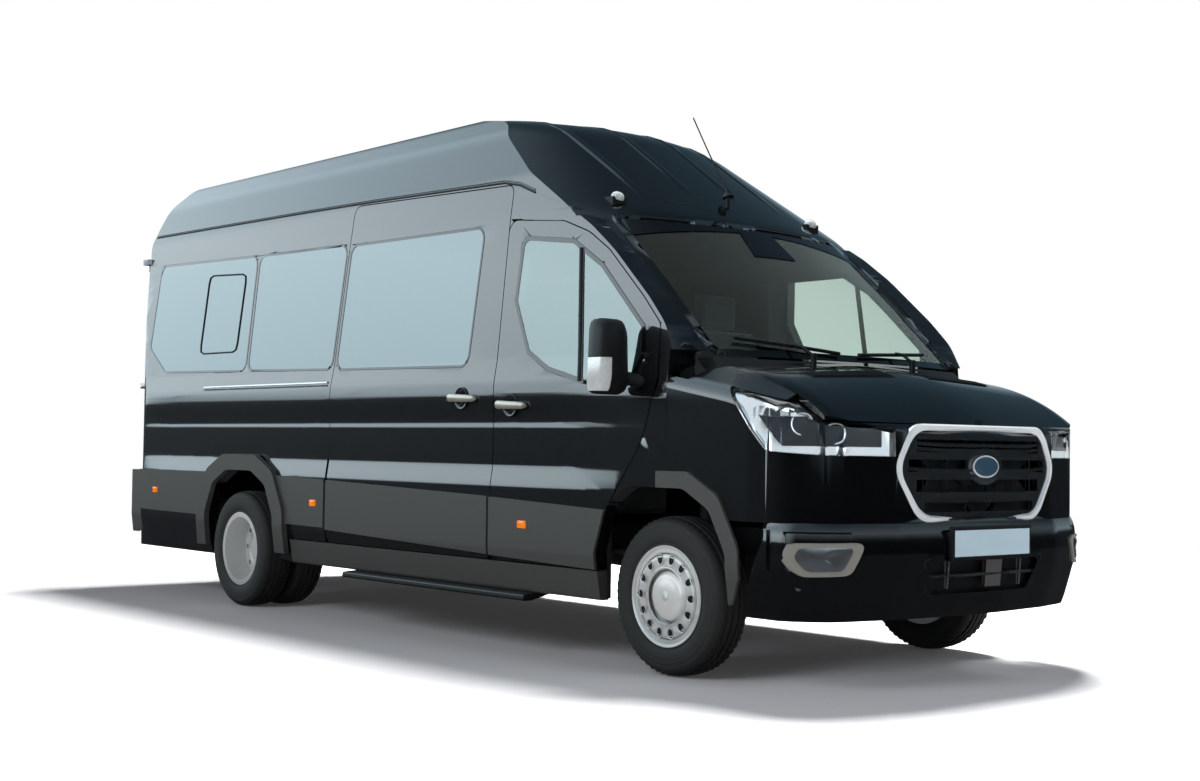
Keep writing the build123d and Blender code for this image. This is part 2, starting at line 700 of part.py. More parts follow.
# Engine as one plain block, and the gearbox with its shaft to the rear axle.
with BuildPart() as engine:
    with Locations((2740, 0, 790)):
        Box(420, 420, 560)
    fillet(engine.edges().filter_by(Axis.X), 40)
write(engine.part, "engine")
with BuildPart() as gearbox:
    with BuildSketch(Plane.YZ.offset(1800)):
        RectangleRounded(180, 170, 40)
    with BuildSketch(Plane.YZ.offset(2530)):
        RectangleRounded(360, 300, 60)
    loft()
gear = gearbox.part.moved(Location((0, 0, 480)))
with BuildPart() as shaft:
    with Locations(Location(((1800 + REAR_AXLE_X + 130) / 2, 0, 420), (0, 90 + 2.2, 0))):
        Cylinder(38, 1800 - REAR_AXLE_X - 130)
driveline = gear + shaft.part
write(driveline, "driveline")

# Rear axle beam with its round differential housing.
with BuildPart() as axle:
    with Locations(Location((REAR_AXLE_X, 0, AXLE_Z), (90, 0, 0))):
        Cylinder(46, 1560)
        Cylinder(88, 1639.4)
        Cylinder(100, 1340, mode=Mode.SUBTRACT)
        Cylinder(46, 1560)
    with Locations((REAR_AXLE_X, 0, AXLE_Z)):
        Sphere(150)
write(axle.part - driveline, "rear_axle")

# Leaf springs hung from the rails.
springs = []
for side, name in SIDES:
    with BuildPart() as leaf:
        with BuildSketch(Plane.XZ.offset(-side * 540 if side > 0 else 470)):
            with BuildLine():
                ThreePointArc((REAR_AXLE_X - 720, 470), (REAR_AXLE_X, 263.3), (REAR_AXLE_X + 720, 470))
                Line((REAR_AXLE_X + 720, 470), (REAR_AXLE_X + 720, 521))
                Line((REAR_AXLE_X + 720, 521), (REAR_AXLE_X + 690, 521))
                Line((REAR_AXLE_X + 690, 521), (REAR_AXLE_X + 690, 496))
                ThreePointArc((REAR_AXLE_X + 690, 496), (REAR_AXLE_X, 303.3), (REAR_AXLE_X - 690, 496))
                Line((REAR_AXLE_X - 690, 496), (REAR_AXLE_X - 690, 521))
                Line((REAR_AXLE_X - 690, 521), (REAR_AXLE_X - 720, 521))
                Line((REAR_AXLE_X - 720, 521), (REAR_AXLE_X - 720, 470))
            make_face()
        extrude(amount=70)
    springs.append(leaf.part)
leaf_springs = Compound(springs)
write(leaf_springs, "leaf_springs")

# Front cross-member with lower arms, and the two struts.
with BuildPart() as subframe:
    with Locations((FRONT_AXLE_X, 0, 300)):
        Box(220, 1060, 90)
    for side, name in SIDES:
        with Locations((FRONT_AXLE_X, side * 610, 268)):
            Box(90, 380, 26)
        with Locations((FRONT_AXLE_X, side * 500, 430)):
            Box(120, 60, 182)
        with Locations((2625, side * 500, 500)):
            Box(50, 60, 42)
    with Locations((2625, 0, 484)):
        Box(50, 1060, 52)
    with Locations((2440, 0, 300)):
        Box(360, 80, 60)
    with Locations((2625, 0, 370)):
        Box(50, 80, 200)
struts = []
for side, name in SIDES:
    with BuildPart() as strut:
        with Locations((FRONT_AXLE_X - 30, side * 668, 660)):
            Cylinder(42, 370)
    struts.append(strut.part)
write(Compound([subframe.part] + struts), "front_subframe")

# Exhaust silencer with pipes, and the fuel tank between rail and sill.
with BuildPart() as exhaust:
    with Locations(Location((700, -250, 470), (0, 90, 0))):
        Cylinder(75, 640)
        Cylinder(28, 2300)
    for x in (480, 920):
        with Locations((x, -250, 590)):
            Box(30, 20, 100)
with BuildPart() as tank:
    with Locations((500, 710, 515)):
        Box(900, 320, 250)
    fillet(tank.edges().filter_by(Axis.X), 50)
write(exhaust.part, "exhaust")
write(tank.part, "fuel_tank")

# Road wheels: one table row per tyre and rim position.
TYRE_SECTION = [
    (203.5, -74),
    (221.5, -75),
    (240, -90),
    (280, -98),
    (325, -92),
    (349.5, -74),
    (349.5, 74),
    (325, 92),
    (280, 98),
    (240, 90),
    (221.5, 75),
    (203.5, 74),
]


def tyre(y):
    """One tyre turned about its axle line, centred at a distance from the middle plane."""
    with BuildPart() as made:
        with BuildSketch(Plane.YZ):
            with BuildLine():
                FilletPolyline(
                    *[(y + w, r) for r, w in TYRE_SECTION],
                    radius=(1, 1, 12, 30, 30, 14, 14, 30, 30, 12, 1, 1),
                    close=True,
                )
            make_face()
        revolve(axis=Axis.Y)
    return made.part


def rim(y, disc_profile):
    """Steel rim barrel with flanges and a pressed disc, turned about the axle line."""
    barrel = [(190, -84), (220.5, -84), (220.5, -76), (203, -75), (203, 75), (220.5, 76), (220.5, 84), (190, 84)]
    with BuildPart() as made:
        with BuildSketch(Plane.YZ):
            with BuildLine():
                Polyline(*[(y + w, r) for r, w in barrel], close=True)
            make_face()
            with BuildLine():
                Polyline(*[(y + w, r) for r, w in disc_profile], close=True)
            make_face()
        revolve(axis=Axis.Y)
    return made.part


def vented(wheel, y_low, y_high, radius, hole, count):
    """Ring of round vent holes through the disc."""
    with BuildPart() as made:
        add(wheel)
        with BuildSketch(Plane.XZ.offset(-y_high)):
            with PolarLocations(radius, count):
                Circle(hole)
        extrude(amount=y_high - y_low, mode=Mode.SUBTRACT)
    return made.part


FRONT_DISC = [(0, 20), (70, 20), (70, 8), (120, 8), (150, 34), (191, 34), (191, 44), (146, 44), (112, 20), (92, 22), (86, 60), (60, 88), (0, 96)]
REAR_DISC = [(0, -112.5), (110, -112.5), (150, -70), (191, -70), (191, -58), (145, -58), (104, -98), (96, -98), (90, -40), (0, -40)]
for side, name in SIDES:
    at_front = Location((FRONT_AXLE_X, 0, AXLE_Z))
    at_rear = Location((REAR_AXLE_X, 0, AXLE_Z))
    front_tyre = tyre(side * FRONT_WHEEL_Y).moved(at_front)
    front_rim = rim(side * FRONT_WHEEL_Y, [(r, side * w) for r, w in FRONT_DISC])
    y_a = side * FRONT_WHEEL_Y
    front_rim = vented(front_rim, y_a - 150, y_a + 150, 168, 13, 12).moved(at_front)
    write(front_tyre, f"front_tyre_{name}")
    write(front_rim, f"front_rim_{name}")
    outer = tyre(side * TWIN_OUTER_Y).moved(at_rear)
    inner = tyre(side * TWIN_INNER_Y).moved(at_rear)
    write(Compound([outer, inner]), f"rear_tyres_{name}")
    outer_rim = rim(side * TWIN_OUTER_Y, [(r, side * w) for r, w in REAR_DISC])
    inner_rim = rim(side * TWIN_INNER_Y, [(r, side * w) for r, w in [(0, 112.5), (110, 112.5), (150, 70), (191, 70), (191, 58), (145, 58), (104, 100), (0, 100)]])
    rims = outer_rim + inner_rim
    y_b = side * TWIN_MID_Y
    rims = vented(rims, y_b - 200, y_b + 200, 168, 15, 10).moved(at_rear)
    write(rims, f"rear_rims_{name}")
    with BuildPart() as knuckle:
        with Locations((FRONT_AXLE_X, side * 752, 378.15)):
            Box(80, 46, 193.7)
        with Locations(Location((FRONT_AXLE_X, side * 812.85, AXLE_Z), (90, 0, 0))):
            Cylinder(60, 145.7)
        with Locations((FRONT_AXLE_X - 70, side * 752, AXLE_Z - 30)):
            Box(90, 24, 30)
    write(knuckle.part, f"front_knuckle_{name}")

# Dashboard across the cab.
with BuildPart() as dash_form:
    with BuildSketch(Plane.XZ):
        with BuildLine():
            FilletPolyline(
                (2480, 860),
                (2080, 880),
                (1960, 960),
                (1915, 1120),
                (1990, 1235),
                (2230, 1300),
                (2480, 1300),
                radius=(20, 30, 60, 60, 60, 40, 10),
                close=True,
            )
        make_face()
    extrude(amount=885, both=True)
with BuildPart() as column:
    with Locations(Location((1790, 470, 1175), (0, -62, 0)) * Location((0, 0, -180))):
        Cylinder(34, 165.4)
dashboard = (dash_form.part & body_form(WALL + 0.3)) + column.part
write(dashboard, "dashboard")


def seat(y_low, y_high):
    """Cushion, leaning back and headrest on a low base."""
    middle = (y_low + y_high) / 2
    with BuildPart() as made:
        with BuildSketch(Plane.XZ.offset(-y_high)):
            with BuildLine():
                FilletPolyline(
                    (1080, FLOOR_TOP),
                    (1480, FLOOR_TOP),
                    (1480, 860),
                    (1600, 930),
                    (1600, 1010),
                    (1520, 1045),
                    (1170, 1015),
                    (1030, 1640),
                    (920, 1640),
                    (1040, 960),
                    radius=(10, 10, 10, 40, 30, 60, 60, 45, 45, 40),
                    close=True,
                )
            make_face()
        extrude(amount=y_high - y_low)
        with Locations((968, middle, 1745)):
            Box(90, 250, 180)
        with Locations((970, middle, 1648)):
            Box(30, 160, 40)
        fillet(made.edges().filter_by(Axis.Z).group_by(SortBy.LENGTH)[-1], 20)
    return made.part


seats = Compound([seat(240, 740), seat(-730, 60)])
write(seats, "seats")

# Steering wheel with hub and three spokes, turning about its leaning column.
WHEEL_CENTRE = (1790, 470, 1175)
COLUMN_TILT = 28
with BuildPart() as steering:
    Torus(182, 14)
    with Locations((0, 0, -12)):
        Cylinder(62, 34)
    for angle in (0, 180, 270):
        with Locations(Location((0, 0, -8), (0, 0, angle)) * Location((118, 0, 0))):
            Box(132, 30, 14)
    with Locations((0, 0, -62)):
        Cylinder(20, 70)
placed = Location(WHEEL_CENTRE, (0, -(90 - COLUMN_TILT), 0))
write(steering.part.moved(placed), "steering_wheel")

# Two windscreen wipers lying above the scuttle.
wipers = []
for base_y, tip_y in ((330, -290), (-360, -740)):
    with BuildPart() as wiper:
        with Locations((2484, base_y, 1390)):
            Cylinder(14, 80)
    wipers.append(wiper.part - body_outer - nose_form(7.7))
write(Compound(wipers), "wipers")

# Marker lamps, aerial and roof vent.
fittings = []
for side, name in SIDES:
    with BuildPart() as marker:
        with Locations((1478, side * 683, 2172)):
            Box(76, 90, 60)
    fittings.append(marker.part - body_outer)
with BuildPart() as aerial:
    with Locations((1560, 0, 2240)):
        Cylinder(14, 120)
fittings.append(aerial.part - body_outer)
with BuildPart() as vent:
    with Locations((-241, 0, ROOF_TOP + 8)):
        Box(200, 160, 18)
fittings.append(vent.part - body_outer)
write(Compound(fittings), "roof_fittings")

# Blank number plates, with their backing frames left to the finish.
plate_front = block((BUMPER_FACE_X - 60, BUMPER_FACE_X), (-260, 260), (559, 669))
write(Compound([plate_front - lower_outer]), "number_plates")

# Door mirrors on short arms.
for side, name in SIDES:
    with BuildPart() as mirror:
        with Locations((1995, side * 1140, 1395)):
            Box(110, 190, 340)
        fillet(mirror.edges(), 34)
        with Locations((2000, side * 1045, 1290)):
            Box(70, 90, 60)
    write(mirror.part - body_form(-0.3), f"mirror_{name}")
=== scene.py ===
"""Finish and detail of the high-roof van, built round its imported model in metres."""

import math

import bpy
from mathutils import Matrix, Vector
from mathutils.bvhtree import BVHTree


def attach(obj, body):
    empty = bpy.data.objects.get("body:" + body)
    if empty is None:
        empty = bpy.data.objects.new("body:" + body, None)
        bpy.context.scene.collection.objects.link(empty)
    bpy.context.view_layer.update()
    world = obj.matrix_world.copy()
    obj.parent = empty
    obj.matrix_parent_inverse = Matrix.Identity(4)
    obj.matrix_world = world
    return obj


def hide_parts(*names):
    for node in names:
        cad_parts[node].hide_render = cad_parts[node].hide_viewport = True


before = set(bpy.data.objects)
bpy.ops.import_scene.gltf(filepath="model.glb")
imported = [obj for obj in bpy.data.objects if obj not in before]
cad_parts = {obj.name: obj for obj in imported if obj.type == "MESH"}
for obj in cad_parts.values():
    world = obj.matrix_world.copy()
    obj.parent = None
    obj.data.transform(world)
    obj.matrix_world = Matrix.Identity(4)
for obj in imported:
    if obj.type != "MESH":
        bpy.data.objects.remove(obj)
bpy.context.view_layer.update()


# Studio: a pale floor that carries the van's soft shadow, a white surround that
# lens and glass see, and a paler sky over a dark horizon that the paint mirrors.
def linear(hex_colour):
    """Linear colour of an sRGB hex value."""
    parts = [int(hex_colour[i : i + 2], 16) / 255 for i in (1, 3, 5)]
    return tuple(p / 12.92 if p <= 0.04045 else ((p + 0.055) / 1.055) ** 2.4 for p in parts) + (1,)


def placed(name, data):
    """New object in the scene that carries a mesh, curve, lamp or camera."""
    piece = bpy.data.objects.new(name, data)
    bpy.context.collection.objects.link(piece)
    return piece


def add_node(tree, kind, links=(), **settings):
    """A node with its settings and its links: socket name or number to another output."""
    node = tree.nodes.new(kind)
    for key, value in settings.items():
        if key.startswith("in_"):
            number = int(key[3:])
            node.inputs[number].default_value = value
        else:
            setattr(node, key, value)
    for socket, source in links:
        tree.links.new(source, node.inputs[socket])
    return node


world = bpy.data.worlds.new("studio")
bpy.context.scene.world = world
world.use_nodes = True
sky = world.node_tree
sky.nodes.clear()
path = add_node(sky, "ShaderNodeLightPath")
seen = add_node(
    sky,
    "ShaderNodeMath",
    [(0, path.outputs["Is Camera Ray"]), (1, path.outputs["Is Transmission Ray"])],
    operation="MAXIMUM",
)
direction = add_node(sky, "ShaderNodeTexCoord")
height = add_node(sky, "ShaderNodeSeparateXYZ", [(0, direction.outputs["Generated"])])
# Strength, then height in the sky (sine of elevation) and colour: beside the van, which
# is bright, beyond it, and behind the camera, where the foot of the sky is dark.
BESIDE = {0.0: "#101214", 0.03: "#1a1d20", 0.065: "#c0d2da"}
BESIDE |= {0.2: "#dcebf2", 0.5: "#a3b6c0", 1.0: "#6a7d88"}
BEYOND = {0.0: "#1a1d20", 0.04: "#2c3236", 0.1: "#a3b3bc"}
BEYOND |= {0.2: "#889ba5", 0.34: "#3a4d58", 1.0: "#1b2b34"}
BEHIND = {0.0: "#0e0f10", 0.1: "#1b1d1f", 0.2: "#5d6a72"}
BEHIND |= {0.4: "#a5b4bc", 0.7: "#6d808b", 1.0: "#1f3038"}
SKIES = ((3.0, BESIDE), (1.25, BEYOND), (1.0, BEHIND))
scaled = []
for strength, stops in SKIES:
    ramp = add_node(sky, "ShaderNodeValToRGB", [(0, height.outputs["Z"])])
    elements = ramp.color_ramp.elements
    for position, colour in stops.items():
        ends = {0.0: elements[0], 1.0: elements[-1]}
        stop = ends.get(position) or elements.new(position)
        stop.color = linear(colour)
    bright = add_node(sky, "ShaderNodeVectorMath", [(0, ramp.outputs["Color"])], operation="SCALE")
    bright.inputs["Scale"].default_value = strength
    scaled.append(bright.outputs[0])
heaven = scaled[0]
for axis, low, high, other in (("Y", 0.0, 0.5, scaled[1]), ("X", 0.1, 0.5, scaled[2])):
    share = add_node(sky, "ShaderNodeMapRange", [("Value", height.outputs[axis])])
    share.interpolation_type = "SMOOTHSTEP"
    share.inputs["From Min"].default_value = low
    share.inputs["From Max"].default_value = high
    links = [("Factor", share.outputs[0]), (6, heaven), (7, other)]
    heaven = add_node(sky, "ShaderNodeMix", links, data_type="RGBA").outputs[2]
links = [("Factor", path.outputs["Is Glossy Ray"]), (7, heaven)]
mirrored = add_node(sky, "ShaderNodeMix", links, data_type="RGBA")
mirrored.inputs[6].default_value = (0.07, 0.072, 0.078, 1)
links = [("Factor", seen.outputs[0]), (6, mirrored.outputs[2])]
white = add_node(sky, "ShaderNodeMix", links, data_type="RGBA")
white.inputs[7].default_value = (1, 1, 1, 1)
background = add_node(sky, "ShaderNodeBackground", [(0, white.outputs[2])], in_1=1.0)
add_node(sky, "ShaderNodeOutputWorld", [(0, background.outputs[0])])

FLOOR_RADIUS = 9.0
FLOOR_DROP = 0.0005
bpy.ops.object.select_all(action="DESELECT")
bpy.ops.mesh.primitive_circle_add(
    vertices=96, radius=FLOOR_RADIUS, fill_type="NGON", location=(0, 0, -FLOOR_DROP)
)
floor = bpy.context.object
floor.name = "studio_floor"
paper = bpy.data.materials.new("white_paper")
paper.use_nodes = True
tree = paper.node_tree
tree.nodes.clear()
path = add_node(tree, "ShaderNodeLightPath")
matt = add_node(tree, "ShaderNodeBsdfDiffuse", in_0=(0.93, 0.93, 0.935, 1))
lift = add_node(tree, "ShaderNodeEmission", in_0=(1, 1, 1, 1), in_1=0.03)
both = add_node(tree, "ShaderNodeAddShader", [(0, matt.outputs[0]), (1, lift.outputs[0])])
links = [(0, path.outputs["Is Camera Ray"]), (1, matt.outputs[0]), (2, both.outputs[0])]
plain = add_node(tree, "ShaderNodeMixShader", links)
tarmac = add_node(tree, "ShaderNodeEmission", in_0=linear("#34373a"), in_1=1.0)
links = [(0, path.outputs["Is Glossy Ray"]), (1, plain.outputs[0]), (2, tarmac.outputs[0])]
ground = add_node(tree, "ShaderNodeMixShader", links)
add_node(tree, "ShaderNodeOutputMaterial", [(0, ground.outputs[0])])
floor.data.materials.append(paper)


def lamp(name, at, aim, size, watts, colour):
    """Large soft lamp turned towards a point."""
    light = bpy.data.lights.new(name, "AREA")
    light.shape = "DISK"
    light.size = size
    light.energy = watts
    light.color = linear(colour)[:3]
    holder = placed(name, light)
    holder.location = at
    holder.rotation_euler = (Vector(aim) - Vector(at)).to_track_quat("-Z", "Y").to_euler()
    holder.visible_glossy = False


lamp("key_lamp", (-1.5, 3.5, 11.0), (0.3, -0.2, 0.6), 4.5, 4300, "#ffffff")
lamp("side_lamp", (3.0, -11.0, 6.5), (0, 0, 1.0), 6.0, 420, "#f4f8ff")
lamp("front_lamp", (11.5, 1.0, 5.0), (1.5, 0, 1.0), 5.0, 260, "#f4f8ff")

# Camera: solved from the photograph, 1.0 m above the ground off the front right corner.
CAMERA_PLACE = (7.4553, -5.8120, 0.9970)
CAMERA_YAW = math.radians(139.791)
CAMERA_PITCH = math.radians(1.973)
CAMERA_ROLL = math.radians(0.827)
FOCAL_PIXELS = 1636.6
PHOTO_WIDTH = 1200
SENSOR = 36.0
flat = math.cos(CAMERA_PITCH)
forward = (math.cos(CAMERA_YAW) * flat, math.sin(CAMERA_YAW) * flat, math.sin(CAMERA_PITCH))
forward = Vector(forward)
level = forward.cross(Vector((0, 0, 1))).normalized()
upright = level.cross(forward)
right = math.cos(CAMERA_ROLL) * level + math.sin(CAMERA_ROLL) * upright
up = -math.sin(CAMERA_ROLL) * level + math.cos(CAMERA_ROLL) * upright
camera_data = bpy.data.cameras.new("camera")
camera_data.sensor_fit = "HORIZONTAL"
camera_data.sensor_width = SENSOR
camera_data.lens = FOCAL_PIXELS / PHOTO_WIDTH * SENSOR
camera = placed("camera", camera_data)
turn = Matrix((right, up, -forward)).transposed().to_4x4()
camera.matrix_world = Matrix.Translation(CAMERA_PLACE) @ turn
bpy.context.scene.camera = camera
bpy.context.scene.view_settings.view_transform = "Standard"


# Painted body: pressed steel panels in black enamel under a clear gloss coat. The side
# panels and doors are pressed with long creases, sharp above the lower cladding, and
# baked enamel keeps a faint orange peel a few millimetres wide.
def finish(name, colour, rough, metal=0.0, **sockets):
    """Material with its shader, and its values set directly on the shader's sockets."""
    made = bpy.data.materials.new(name)
    made.use_nodes = True
    shader = made.node_tree.nodes["Principled BSDF"]
    shader.inputs["Base Color"].default_value = linear(colour)
    shader.inputs["Roughness"].default_value = rough
    shader.inputs["Metallic"].default_value = metal
    for key, value in sockets.items():
        shader.inputs[key.replace("_", " ")].default_value = value
    return made


def grain(material, size_mm, depth, spread=(0.5, 0.5), colours=None, stretch=(1, 1, 1)):
    """Surface texture of a real size: bump, roughness from low to high, and two tones."""
    tree = material.node_tree
    shader = tree.nodes["Principled BSDF"]
    place = add_node(tree, "ShaderNodeTexCoord")
    laid = add_node(tree, "ShaderNodeMapping", [(0, place.outputs["Object"])])
    laid.inputs["Scale"].default_value = stretch
    noise = add_node(tree, "ShaderNodeTexNoise", [("Vector", laid.outputs[0])])
    noise.inputs["Scale"].default_value = 1000 / size_mm
    noise.inputs["Detail"].default_value = 3
    bump = add_node(tree, "ShaderNodeBump", [("Height", noise.outputs["Fac"])])
    bump.inputs["Strength"].default_value = 0.6
    bump.inputs["Distance"].default_value = depth / 1000
    tree.links.new(bump.outputs[0], shader.inputs["Normal"])
    if spread[0] != spread[1]:
        rough = add_node(tree, "ShaderNodeMapRange", [("Value", noise.outputs["Fac"])])
        rough.inputs["To Min"].default_value = spread[0]
        rough.inputs["To Max"].default_value = spread[1]
        tree.links.new(rough.outputs[0], shader.inputs["Roughness"])
    if colours:
        tone = add_node(tree, "ShaderNodeMix", [("Factor", noise.outputs["Fac"])], data_type="RGBA")
        tone.inputs[6].default_value = linear(colours[0])
        tone.inputs[7].default_value = linear(colours[1])
        tree.links.new(tone.outputs[2], shader.inputs["Base Color"])
    return material


def wear(material, *nodes):
    """Puts a material on modelled nodes that keep their shape."""
    for node in nodes:
        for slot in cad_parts[node].material_slots:
            slot.material = material


def alone(piece):
    """Leaves edit mode, and selects this piece only."""
    if bpy.context.object and bpy.context.object.mode != "OBJECT":
        bpy.ops.object.mode_set(mode="OBJECT")
    bpy.ops.object.select_all(action="DESELECT")
    piece.select_set(True)
    bpy.context.view_layer.objects.active = piece


def worked(piece, operator, **settings):
    """Runs one mesh operator on the whole of a piece."""
    alone(piece)
    bpy.ops.object.mode_set(mode="EDIT")
    bpy.ops.mesh.select_all(action="SELECT")
    operator(**settings)
    bpy.ops.object.mode_set(mode="OBJECT")


def lifted(node, name):
    """Merged copy of a modelled node's mesh, as the start of a new piece."""
    piece = placed(name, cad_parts[node].data.copy())
    piece.data.materials.clear()
    worked(piece, bpy.ops.mesh.remove_doubles, threshold=0.00002)
    return piece


def sliced(piece, point, normal, drop=False):
    """Cuts a piece's faces along a plane, and may drop what lies beyond it."""
    worked(piece, bpy.ops.mesh.bisect, plane_co=point, plane_no=normal, clear_outer=drop)


def modified(piece, kind, **settings):
    """Adds a modifier and applies it."""
    alone(piece)
    change = piece.modifiers.new(kind.lower(), kind)
    for key, value in settings.items():
        setattr(change, key, value)
    bpy.ops.object.modifier_apply(modifier=change.name)


def mounted(piece, body, slot, material, *nodes, angle=32, weigh=False):
    """Finishes a piece: place into its mesh, smooth shading, material and body; its slot is not used.
    """
    alone(piece)
    bpy.ops.object.transform_apply(location=True, rotation=True, scale=True)
    bpy.ops.object.shade_smooth_by_angle(angle=math.radians(angle))
    piece.data.materials.clear()
    piece.data.materials.append(material)
    if weigh:
        modified(piece, "WEIGHTED_NORMAL", keep_sharp=True, weight=80)
    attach(piece, body)
    if nodes:
        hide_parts(*nodes)
    return piece


SIDES = ((1, "left"), (-1, "right"))
COAT = {"Coat_Weight": 1.0, "Coat_Roughness": 0.012, "Coat_IOR": 1.95}
enamel = finish("black_enamel", "#020303", 0.5, Specular_IOR_Level=0.15, **COAT)
grain(enamel, 9, 0.003, (0.45, 0.55), ("#020203", "#050607"))
wear(enamel, "roof_panel", "roof_cap", "wings", "bonnet", "floor_pan")
wear(enamel, "rear_door_left", "rear_door_right")

# Height of each crease row, and how far the panel stands out there from its plain form.
CREASE_ROWS = [
    (0.44, 0.0), (0.5, 0.001), (0.8, 0.0044), (0.9, -0.0102), (1.09, -0.0072),
    (1.11, -0.0103), (1.305, 0.0049), (1.42, 0.0), (1.6, 0.0),
]
CREASE_CUTS = [0.5, 0.64, 0.786, 0.8, 0.814, 0.85, 0.886, 0.9, 0.914, 0.98, 1.04, 1.078, 1.09]
CREASE_CUTS += [1.1, 1.11, 1.124, 1.17, 1.23, 1.291, 1.305, 1.319, 1.36, 1.42]
CREASE_CUTS += [1.55, 1.7, 1.85, 2.0, 2.08, 2.13, 2.18, 2.24, 2.3]
CREASE_FOOT, CREASE_TOP = 0.44, 1.5
# Only what lies further out than this is pressed: the panels' outer face.
OUTER_SKIN = 0.997


def between(rows, at):
    """Value on a table of rows at a place between them."""
    if at <= rows[0][0]:
        return rows[0][1]
    for (low, first), (high, last) in zip(rows, rows[1:]):
        if at <= high:
            return first + (last - first) * (at - low) / (high - low)
    return rows[-1][1]


PRESSED = (
    ("side_panel_right", "body"),
    ("side_panel_left", "body"),
    ("sliding_door", "body"),
    ("front_door_right", "front_door_right"),
    ("front_door_left", "front_door_left"),
)
for node, carrier in PRESSED:
    panel = lifted(node, node + "_pressed")
    for height in CREASE_CUTS:
        sliced(panel, (0, 0, height), (0, 0, 1))
    for step in range(25):
        sliced(panel, (-2.9 + 0.2 * step, 0, 0), (1, 0, 0))
    for point in panel.data.vertices:
        x, y, z = point.co
        if CREASE_FOOT < z < CREASE_TOP and abs(y) > OUTER_SKIN:
            fade = min(1, max(0, (2.02 - x) / 0.42)) * min(1, max(0, (x + 3.1) / 0.3))
            out = sum(between(CREASE_ROWS, z + step) for step in (-0.012, 0, 0.012)) / 3
            point.co.y += out * fade * (1 if y > 0 else -1)
    mounted(panel, carrier, "body_paint", enamel, node, angle=24, weigh=True)

# Front bumper: moulded skin painted with the body, with a rounded ledge under the grille
# and lamps, and a lower face that falls back towards the splitter.

# Nose in plan: distance from the middle line, and how far forward it stands there.
NOSE_PLAN = [(0, 3.148), (0.2, 3.144), (0.4, 3.124), (0.54, 3.110), (0.65, 3.079)]
NOSE_PLAN += [(0.75, 3.05), (0.85, 3.004), (0.95, 2.901), (1.0, 2.809)]


def nose_x(y):
    """How far forward the upper nose stands at a distance from the middle line."""
    return between(NOSE_PLAN, abs(y))


# Height, and how far the bumper's face falls back there from the upper nose's line.
BUMPER_ROWS = [
    (0.29, 0.085), (0.34, 0.062), (0.42, 0.034), (0.5, 0.008), (0.56, 0.0), (0.62, 0.001),
    (0.655, 0.006), (0.68, 0.016), (0.6915, 0.024), (0.7, 0.0275),
]
BUMPER_CUTS = (0.32, 0.34, 0.38, 0.42, 0.46, 0.5, 0.53, 0.56, 0.59, 0.62, 0.64, 0.655, 0.668, 0.68)


def corner_share(y):
    """How much of a fall goes sideways: none in the middle, all of it at the corner."""
    return min(1, max(0, (abs(y) - 0.55) / 0.45))


bumper = lifted("front_bumper", "front_bumper_skin")
for height in BUMPER_CUTS:
    sliced(bumper, (0, 0, height), (0, 0, 1))
for point in bumper.data.vertices:
    x, y, z = point.co
    ahead = x - nose_x(y)
    if z < 0.6895 or (z < 0.7005 and ahead > 0.012):
        back = between(BUMPER_ROWS, z)
        share = corner_share(y)
        point.co.x -= back * (1 - 0.45 * share)
        point.co.y -= math.copysign(back * 0.5 * share, y)
mounted(bumper, "body", "body_paint", enamel, "front_bumper", angle=30, weigh=True)

# Outside mouldings, bumper ends and sills: injection moulded polypropylene, dark grey,
# with a fine spark-eroded grain that spreads highlights wide.
moulded = finish("moulded_plastic", "#3a3a39", 0.5, Specular_IOR_Level=0.35)
grain(moulded, 2.5, 0.05, (0.42, 0.58), ("#3c3c3a", "#4a4a47"))
wear(moulded, "door_moulding_left", "door_moulding_right", "sliding_door_moulding")
wear(moulded, "side_mouldings", "rear_bumper", "sills")
black_plastic = finish("black_plastic", "#131415", 0.42, Specular_IOR_Level=0.4)
grain(black_plastic, 2, 0.04, (0.36, 0.5), ("#101112", "#191a1b"))
wear(black_plastic, "wipers", "mirror_left", "mirror_right", "cowl", "side_step")

# Glass: float glass, green in the windscreen, and privacy glass with a mirror coat
# behind the cab, printed black round its edges where it is bonded in.
clear = finish("green_glass", "#cfe0d9", 0.0, Transmission_Weight=1.0, IOR=1.25)
wear(clear, "windscreen")
door_glass = finish("door_glass", "#98a3a1", 0.01, 0.55, Transmission_Weight=1.0, IOR=1.25)
tree = door_glass.node_tree
path = add_node(tree, "ShaderNodeLightPath")
bare = add_node(tree, "ShaderNodeBsdfTransparent", in_0=(0.86, 0.9, 0.88, 1))
coated = tree.nodes["Principled BSDF"]
links = [(0, path.outputs["Is Transmission Ray"]), (1, coated.outputs[0]), (2, bare.outputs[0])]
through = add_node(tree, "ShaderNodeMixShader", links)
tree.links.new(through.outputs[0], tree.nodes["Material Output"].inputs[0])
wear(door_glass, "door_glass_left", "door_glass_right")
privacy = finish("coated_glass", "#767e80", 0.02, 0.95)
wear(privacy, "side_glass", "sliding_door_glass", "rear_glass_left", "rear_glass_right")
frit = finish("black_print", "#060708", 0.12, Coat_Weight=0.6, Coat_Roughness=0.03)
grain(frit, 3, 0.004, (0.1, 0.16))
rubber_seal = finish("door_rubber", "#141516", 0.6)
grain(rubber_seal, 1.5, 0.02, (0.5, 0.68))


def kept(piece, test):
    """Deletes the faces of a piece whose middle and normal fail a test."""
    alone(piece)
    bpy.ops.object.mode_set(mode="EDIT")
    bpy.ops.mesh.select_mode(type="FACE")
    bpy.ops.mesh.select_all(action="DESELECT")
    bpy.ops.object.mode_set(mode="OBJECT")
    for face in piece.data.polygons:
        face.select = not test(face.center, face.normal)
    bpy.ops.object.mode_set(mode="EDIT")
    bpy.ops.mesh.delete(type="FACE")
    bpy.ops.object.mode_set(mode="OBJECT")


